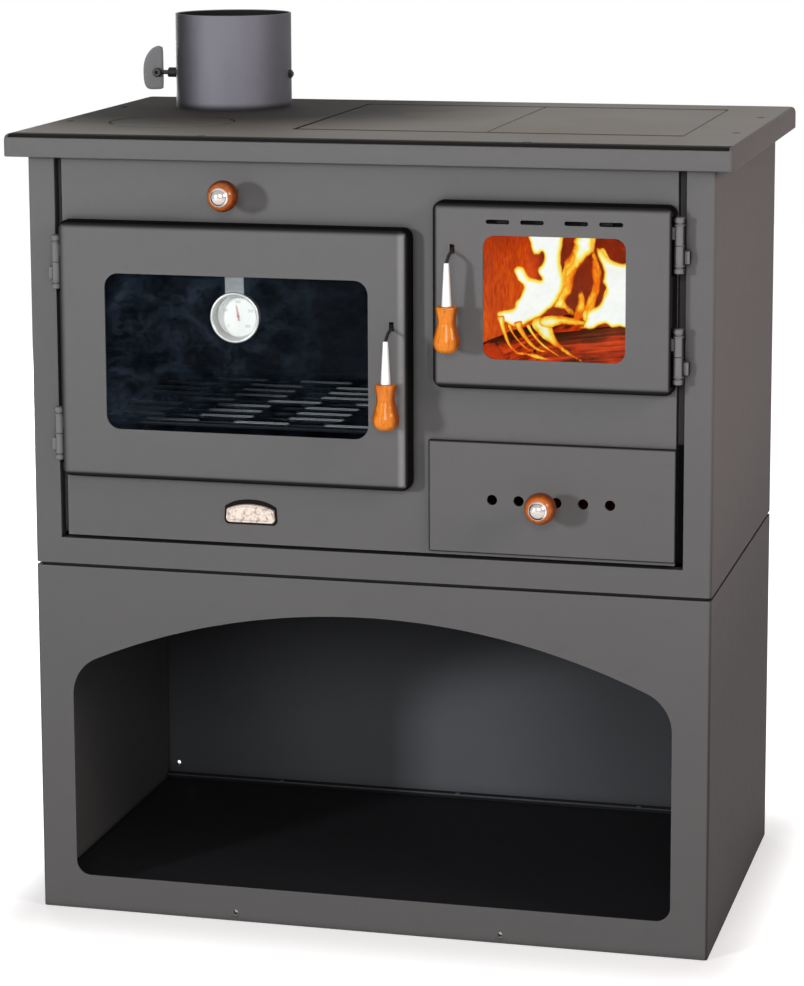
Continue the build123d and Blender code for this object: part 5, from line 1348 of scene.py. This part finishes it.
# ---------------------------------------------------------------- oven shelf
def make_shelf():
    """The pressed tray in the oven: staggered slots, each ringed by a lip of lighter steel that is a painted
    highlight, and turned-down edges.
    """
    left, right, near, far, top, sheet = -314.5, 40.5, -203.0, 98.5, 542.4, 1.3
    half, end = 27.0, 3.4
    places = []
    for row in range(9):
        columns = (-220.5, -120.5, -20.5) if row % 4 == 0 else (-269.0, -169.0, -69.0)
        places += [(x, -187.0 + 32.2 * row) for x in columns]
    loops = [[(left, near), (right, near), (right, far), (left, far)]]
    for x, y in places:
        loops.append([(x + side * (half + end * math.cos(a)), y + side * end * math.sin(a))
                      for side in (1, -1) for a in map(math.radians, (-90, -45, 0, 45, 90))])
    points, edges = [], []
    for loop in loops:
        first = len(points)
        points += [Vector(point) for point in loop]
        edges += [(first + i, first + (i + 1) % len(loop)) for i in range(len(loop))]
    flat, _, faces = geometry.delaunay_2d_cdt(points, edges, [], 2, 1e-7)[:3]
    shape = bmesh.new()
    sheets = [[shape.verts.new(Vector((point.x, point.y, z)) * MM) for point in flat]
              for z in (top, top - sheet)]
    for face in faces:
        for level in sheets:
            shape.faces.new([level[i] for i in face])
    first = 0
    for loop in loops:
        bridge(shape, *[level[first:first + len(loop)] for level in sheets])
        first += len(loop)
    rounded_box(shape, (left, near - sheet, top - 3.5), (right, near, top), 0.3)
    rounded_box(shape, (left, far - sheet, top), (right, far, top + 7), 0.3)
    settle("shelf_tray", shape, finishes["oven_enamel"], "stove", ["oven_shelf"])

    # painted highlight: a lip of lighter steel round each slot
    rims = Steps("slot_lips", length=2 * (half + end) * MM, width=2 * end * MM, wire=0.95 * MM)
    line = rims.add("GeometryNodeCurvePrimitiveQuadrilateral", {"mode": "RECTANGLE"},
                    {"Width": rims.size("length"), "Height": rims.size("width")}, "Curve")
    rounded = rims.add("GeometryNodeFilletCurve", {"mode": "POLY"},
                       {"Curve": line, "Radius": rims.size("width") * 0.48, "Count": 4}, "Curve")
    tube = rims.swept(rounded, rims.circle(6, rims.size("wire")))
    lips = rims.copied(tube, rims.spots())
    mesh = rims.grown(point_mesh([Vector((x, y, top)) * MM for x, y in places]), lips, worn_lip)
    keep_piece("shelf_slot_lips", mesh, None, "stove")


make_shelf()


# ---------------------------------------------------------------- fire
line_of_sight = Vector((-0.202, 1.0, -0.150))
window_y = front_y / MM - 16


def flame_sheet(shape, layer, outline, depth, seed, reach=12.0):
    """One body of fire. The outline is as seen in the door's window, then it is pushed back.

    reach is how deep inside the rim it is hottest.
    """
    ragged = []
    for index, (x, z) in enumerate(eased(outline, 4, closed=True)):
        jitter = noise.noise_vector(Vector((x, z, seed * 9.1)) * 0.16) * (reach * 0.09)
        ragged.append((x + jitter.x, z + jitter.y))
    points, faces, rim = filled(ragged, reach * 0.3)
    sheets = []
    for side in (-1, 1):
        sheet = []
        for index, point in enumerate(points):
            inward = 0.0 if index < len(rim) else min(distance_to(rim, point) / reach, 1.0)
            sway = 9.0 * noise.noise(Vector((point.x, point.y, seed * 3.7)) * 0.03)
            spot = Vector((point.x, 0, point.y)) + line_of_sight * (depth + sway)
            spot.y += window_y + side * (0.2 + reach * 0.42 * math.sqrt(max(0.0, 1 - (1 - inward) ** 2)))
            vert = shape.verts.new(spot * MM)
            vert[layer] = inward
            sheet.append(vert)
        sheets.append(sheet)
        for face in faces:
            shape.faces.new([sheet[i] for i in face])
    bridge(shape, sheets[0][:len(rim)], sheets[1][:len(rim)])


def ribbon(line):
    """An outline from a tongue's middle line, which holds (x, z, half width)."""
    line = eased(line, 3)
    left, right = [], []
    for index, (x, z, half) in enumerate(line):
        before, after = line[max(index - 1, 0)], line[min(index + 1, len(line) - 1)]
        run = Vector((after[0] - before[0], after[1] - before[1])).normalized()
        left.append((x - run.y * half, z + run.x * half))
        right.append((x + run.y * half, z - run.x * half))
    return left[::3] + right[::-3]


def make_flames(name, outlines, finish):
    """One piece made of flame sheets, each with its depth, its outline and its own seed."""
    shape = bmesh.new()
    layer = shape.verts.layers.float.new("inward")
    for seed, (depth, outline, *reach) in enumerate(outlines):
        flame_sheet(shape, layer, outline, depth, seed + len(name), *reach)
    return settle(name, shape, finish, "stove", sharp=math.pi)


main_flame = [(177, 766), (179, 747), (181, 739), (188, 738), (192, 741), (193, 734), (191, 729), (186, 725),
              (187, 719), (191, 714), (182, 715), (176, 718), (173, 724), (170, 727), (164, 726), (161, 721),
              (165, 712), (171, 707), (171, 701), (169, 695), (164, 689), (161, 682), (149, 680), (143, 675),
              (146, 668), (154, 666), (163, 661), (172, 664), (182, 669), (191, 673), (198, 680), (207, 687),
              (212, 699), (216, 708), (215, 719), (212, 731), (213, 745), (215, 757), (212, 767)]
right_flame = [(219, 663), (233, 667), (238, 673), (239, 680), (245, 685), (252, 689), (257, 698), (259, 705),
               (255, 712), (256, 718), (255, 728), (251, 737), (249, 747), (252, 753), (255, 747), (260, 740),
               (267, 736), (274, 733), (280, 734), (285, 741), (291, 714), (291, 682), (285, 664), (276, 665),
               (267, 664), (256, 667), (244, 662)]
middle_flame = [(203, 684), (209, 696), (214, 710), (216, 723), (222, 732), (224, 739), (219, 744), (226, 748),
                (225, 755), (233, 766), (246, 767), (248, 746), (242, 739), (233, 729), (226, 722), (222, 717),
                (222, 709), (223, 700), (217, 691), (224, 684), (227, 672), (221, 675), (214, 682)]
make_flames("flames_bright", [
    (92, main_flame), (104, right_flame),
], flame_bright)
make_flames("flames_yellow", [
    (98, middle_flame),
    (112, ribbon([(255, 747, 3), (261, 731, 5), (269, 714, 6), (262, 697, 6), (268, 680, 5)]), 8.0),
], flame_yellow)
make_flames("flames_licking", [
    (68, ribbon([(148, 673, 4), (150, 664, 2.6), (153, 654, 2.2), (157, 644, 1.7), (163, 637, 1.4),
                 (170, 634, 0.8)]), 3.6),
    (64, ribbon([(163, 635, 1.0), (170, 634.5, 2.0), (177, 634, 1.4), (186, 632, 2.4), (194, 630, 1.5),
                 (204, 629, 0.6)]),
     3.6),
    (68, ribbon([(184, 670, 5), (193, 663, 9), (199, 655, 7.0), (205, 648, 4.0), (213, 641, 2.4), (224, 634, 1.8),
                 (236, 628, 0.8)]), 7.0),
    (66, ribbon([(190, 668, 4), (203, 669, 6.5), (214, 671, 5.0), (228, 669, 3.4), (238, 668, 1)]), 6.0),
    (66, ribbon([(166, 668, 4.6), (169, 660, 3.4), (174, 652, 2.2), (181, 644, 1.7), (189, 639, 1.6),
                 (197, 637, 0.8)]), 4.5),
    (67, ribbon([(157, 664, 1.6), (161, 656, 1.1), (167, 648, 1.1), (174, 641, 1.0), (182, 637, 0.6)]), 2.6),
    (65, ribbon([(177, 664, 1.8), (183, 655, 1.2), (190, 647, 1.2), (199, 640, 1.1), (210, 633, 0.6)]), 2.6),
], flame_lick)
make_flames("flames_faint", [
    (118, ribbon([(206, 690, 9), (216, 706, 9), (221, 724, 8), (231, 742, 9), (238, 766, 7)])),
    (108, ribbon([(227, 666, 5), (231, 680, 5), (234, 692, 4), (232, 702, 1.6)])),
    (120, ribbon([(239, 672, 7), (244, 690, 5), (250, 706, 5), (249, 726, 5), (246, 742, 2)])),
], flame_faint)


def make_log(shape, layers, start, end, radius, seed, squash=0.86):
    """A split log: a rough, slightly bent billet with split faces and rounded-off ends."""
    run_layer, end_layer = layers
    start, end = Vector(start), Vector(end)
    along = (end - start).normalized()
    side = along.cross(Vector((0, 0, 1))).normalized()
    up = side.cross(along)
    length = (end - start).length
    rows, around = 46, 44
    rings = []
    for row in range(rows + 1):
        share = row / rows
        taper = min(1.0, 0.86 + 3.2 * min(share, 1 - share))
        bend = 2.2 * math.sin(share * 5.0 + seed)
        ring = []
        for step in range(around):
            angle = 2 * math.pi * step / around
            split = 1.0 - 0.16 * max(0.0, math.cos(2.0 * angle + seed * 1.7)) ** 2
            level_x, level_y = math.cos(angle), math.sin(angle)
            coarse = noise.noise(Vector((share * 3.0, level_x * 1.6, level_y * 1.6 + seed * 5)))
            ridge = noise.noise(Vector((share * 5.0, level_x * 7.0, level_y * 7.0 + seed * 3)))
            r = radius * taper * split * (1 + 0.10 * coarse) + 1.1 * ridge
            local = Vector((share * length, r * math.cos(angle), r * squash * math.sin(angle)))
            vert = shape.verts.new((start + along * local.x + side * (local.y + bend) + up * local.z) * MM)
            vert[run_layer] = local * MM + Vector((0, seed * 0.3, 0))
            ring.append(vert)
        rings.append(ring)
    for first, second in zip(rings, rings[1:]):
        bridge(shape, first, second)
    for ring, share in ((rings[0], 0.0), (rings[-1], 1.0)):
        centre = start + (end - start) * share
        last = ring
        for inner in (0.72, 0.42, 0.16):
            following = []
            for vert in ring:
                local = vert.co / MM - centre
                dent = along * (1.5 * (1 - inner) * (1 if share == 0 else -1)
                                + 1.4 * noise.noise(Vector((local.y, local.z, seed + inner)) * 0.2))
                made = shape.verts.new((centre + local * inner + dent) * MM)
                made[run_layer] = vert[run_layer] * inner
                made[end_layer] = 1.0
                following.append(made)
            bridge(shape, last, following)
            last = following
        shape.faces.new(last)


def make_logs():
    """The four split logs on the grate."""
    shape = bmesh.new()
    layers = (shape.verts.layers.float_vector.new("grain_run"), shape.verts.layers.float.new("end_grain"))
    make_log(shape, layers, (166, -128, 614), (296, -108, 624), 31, 1)
    make_log(shape, layers, (108, -96, 592), (214, -20, 600), 30, 2)
    make_log(shape, layers, (118, -136, 606), (168, 40, 612), 26, 3, 0.95)
    make_log(shape, layers, (184, 20, 600), (292, -30, 612), 28, 4)
    settle("split_logs", shape, finishes["log_wood"], "stove", ["fire_logs"], math.radians(70))


make_logs()

# ---------------------------------------------------------------- camera
turn, tip_down, lean = 0.266, -0.166, -0.007
ahead = Vector((-math.sin(turn) * math.cos(tip_down), math.cos(turn) * math.cos(tip_down),
                math.sin(tip_down)))
right = Vector((math.cos(turn), math.sin(turn), 0))
up = right.cross(ahead)
right_leant = math.cos(lean) * right + math.sin(lean) * up
up_leant = -math.sin(lean) * right + math.cos(lean) * up
view = bpy.data.cameras.new("camera")
view.sensor_width = 36.0
view.lens = 118.06
view.shift_x = 0.0629
view.shift_y = -0.1298
view.clip_start = 0.05
camera = bpy.data.objects.new("camera", view)
camera.matrix_world = Matrix.Translation((0.84704, -3.42061, 1.16957)) @ Matrix(
    (right_leant, up_leant, -ahead)).transposed().to_4x4()
bpy.context.scene.collection.objects.link(camera)
bpy.context.scene.camera = camera


# ---------------------------------------------------------------- floor, lamps and surroundings
def background_rays(tree):
    """1 for the rays that show the background: straight, mirrored and through glass."""
    seen, mirrored, through = (tree.add("ShaderNodeLightPath", None, None, out)
                               for out in ("Is Camera Ray", "Is Glossy Ray", "Is Transmission Ray"))
    return seen.or_(mirrored).or_(through)


def make_floor(lift):
    """A pale floor with a soft shade close round the stove's foot."""
    shape = bmesh.new()
    half, drop = 6.0, 0.6 * MM
    foot_x, foot_y, shade_reach = 366 * MM, 220 * MM, 170 * MM
    shape.faces.new([shape.verts.new((x, y, -drop)) for x, y in
                     ((-half, -half), (half, -half), (half, half), (-half, half))])
    mesh = bpy.data.meshes.new("floor")
    shape.to_mesh(mesh)
    shape.free()
    f = Finish("pale_floor")
    body = f.add("ShaderNodeBsdfDiffuse", None, {"Color": (0.80, 0.80, 0.80)}, "BSDF")
    x = (f.axis(f.place(), "X").size() - foot_x).or_(0.0) * 2.0
    y = (f.axis(f.place(), "Y").size() - foot_y).or_(0.0)
    away = (x ** 2 + y ** 2) ** 0.5
    pale = f.ramp(away.clear_of(0.0, shade_reach), [
        (0.0, shade((1, 1, 1), lift)), (0.5, shade((1, 1, 1), 0.66)), (1.0, (1, 1, 1))])
    glow = f.add("ShaderNodeEmission", None, {"Color": pale, "Strength": background_rays(f)}, "Emission")
    mesh.materials.append(f.done(f.add("ShaderNodeAddShader", None, {0: body, 1: glow}, "Shader")))
    floor = bpy.data.objects.new("floor", mesh)
    bpy.context.scene.collection.objects.link(floor)


def make_surroundings(strength):
    """A weak even light, and plain white for the rays that show the background."""
    world = bpy.data.worlds.new("surroundings")
    bpy.context.scene.world = world
    world.use_nodes = True
    tree = Tree(world.node_tree)
    soft = tree.add("ShaderNodeBackground", None, {"Color": (1, 1, 1), "Strength": strength}, "Background")
    white = tree.add("ShaderNodeBackground", None, {"Color": (1, 1, 1), "Strength": 1.0}, "Background")
    mixed = tree.add("ShaderNodeMixShader", None, {0: background_rays(tree), 1: soft, 2: white}, "Shader")
    tree.add("ShaderNodeOutputWorld", None, {"Surface": mixed})


def make_lamp(name, place, aim, size, power, colour=(1, 1, 1)):
    """One rectangular lamp; its size is its width and height in metres, its power is in watts."""
    data = bpy.data.lights.new(name, "AREA")
    data.shape = "RECTANGLE"
    data.size, data.size_y = size
    data.energy = power
    data.color = colour
    data.spread = math.pi
    lamp = bpy.data.objects.new(name, data)
    towards = (Vector(aim) - Vector(place)).to_track_quat("-Z", "Y")
    lamp.matrix_world = Matrix.Translation(place) @ towards.to_matrix().to_4x4()
    bpy.context.scene.collection.objects.link(lamp)


floor_lift = 0.40
world_strength = 0.08
make_floor(floor_lift)
make_surroundings(world_strength)
make_lamp("key_left", (-2.60, -3.90, 1.35), (0.0, -0.2, 0.55), (0.42, 0.55), 106)
make_lamp("front_soft", (0.70, -3.90, 1.70), (0.0, -0.2, 0.6), (1.6, 1.2), 54)
make_lamp("right_warm", (2.4, -1.1, 1.75), (0.39, 0.0, 0.8), (0.9, 0.9), 27, (1.0, 0.86, 0.83))
make_lamp("top_back", (0.6, 1.4, 2.4), (0.1, 0.0, 0.85), (1.4, 0.9), 9)
make_lamp("back_left", (-2.2, 3.0, 0.62), (-0.1, 0.2, 0.45), (1.2, 0.9), 60)

bpy.context.scene.view_settings.view_transform = "Standard"
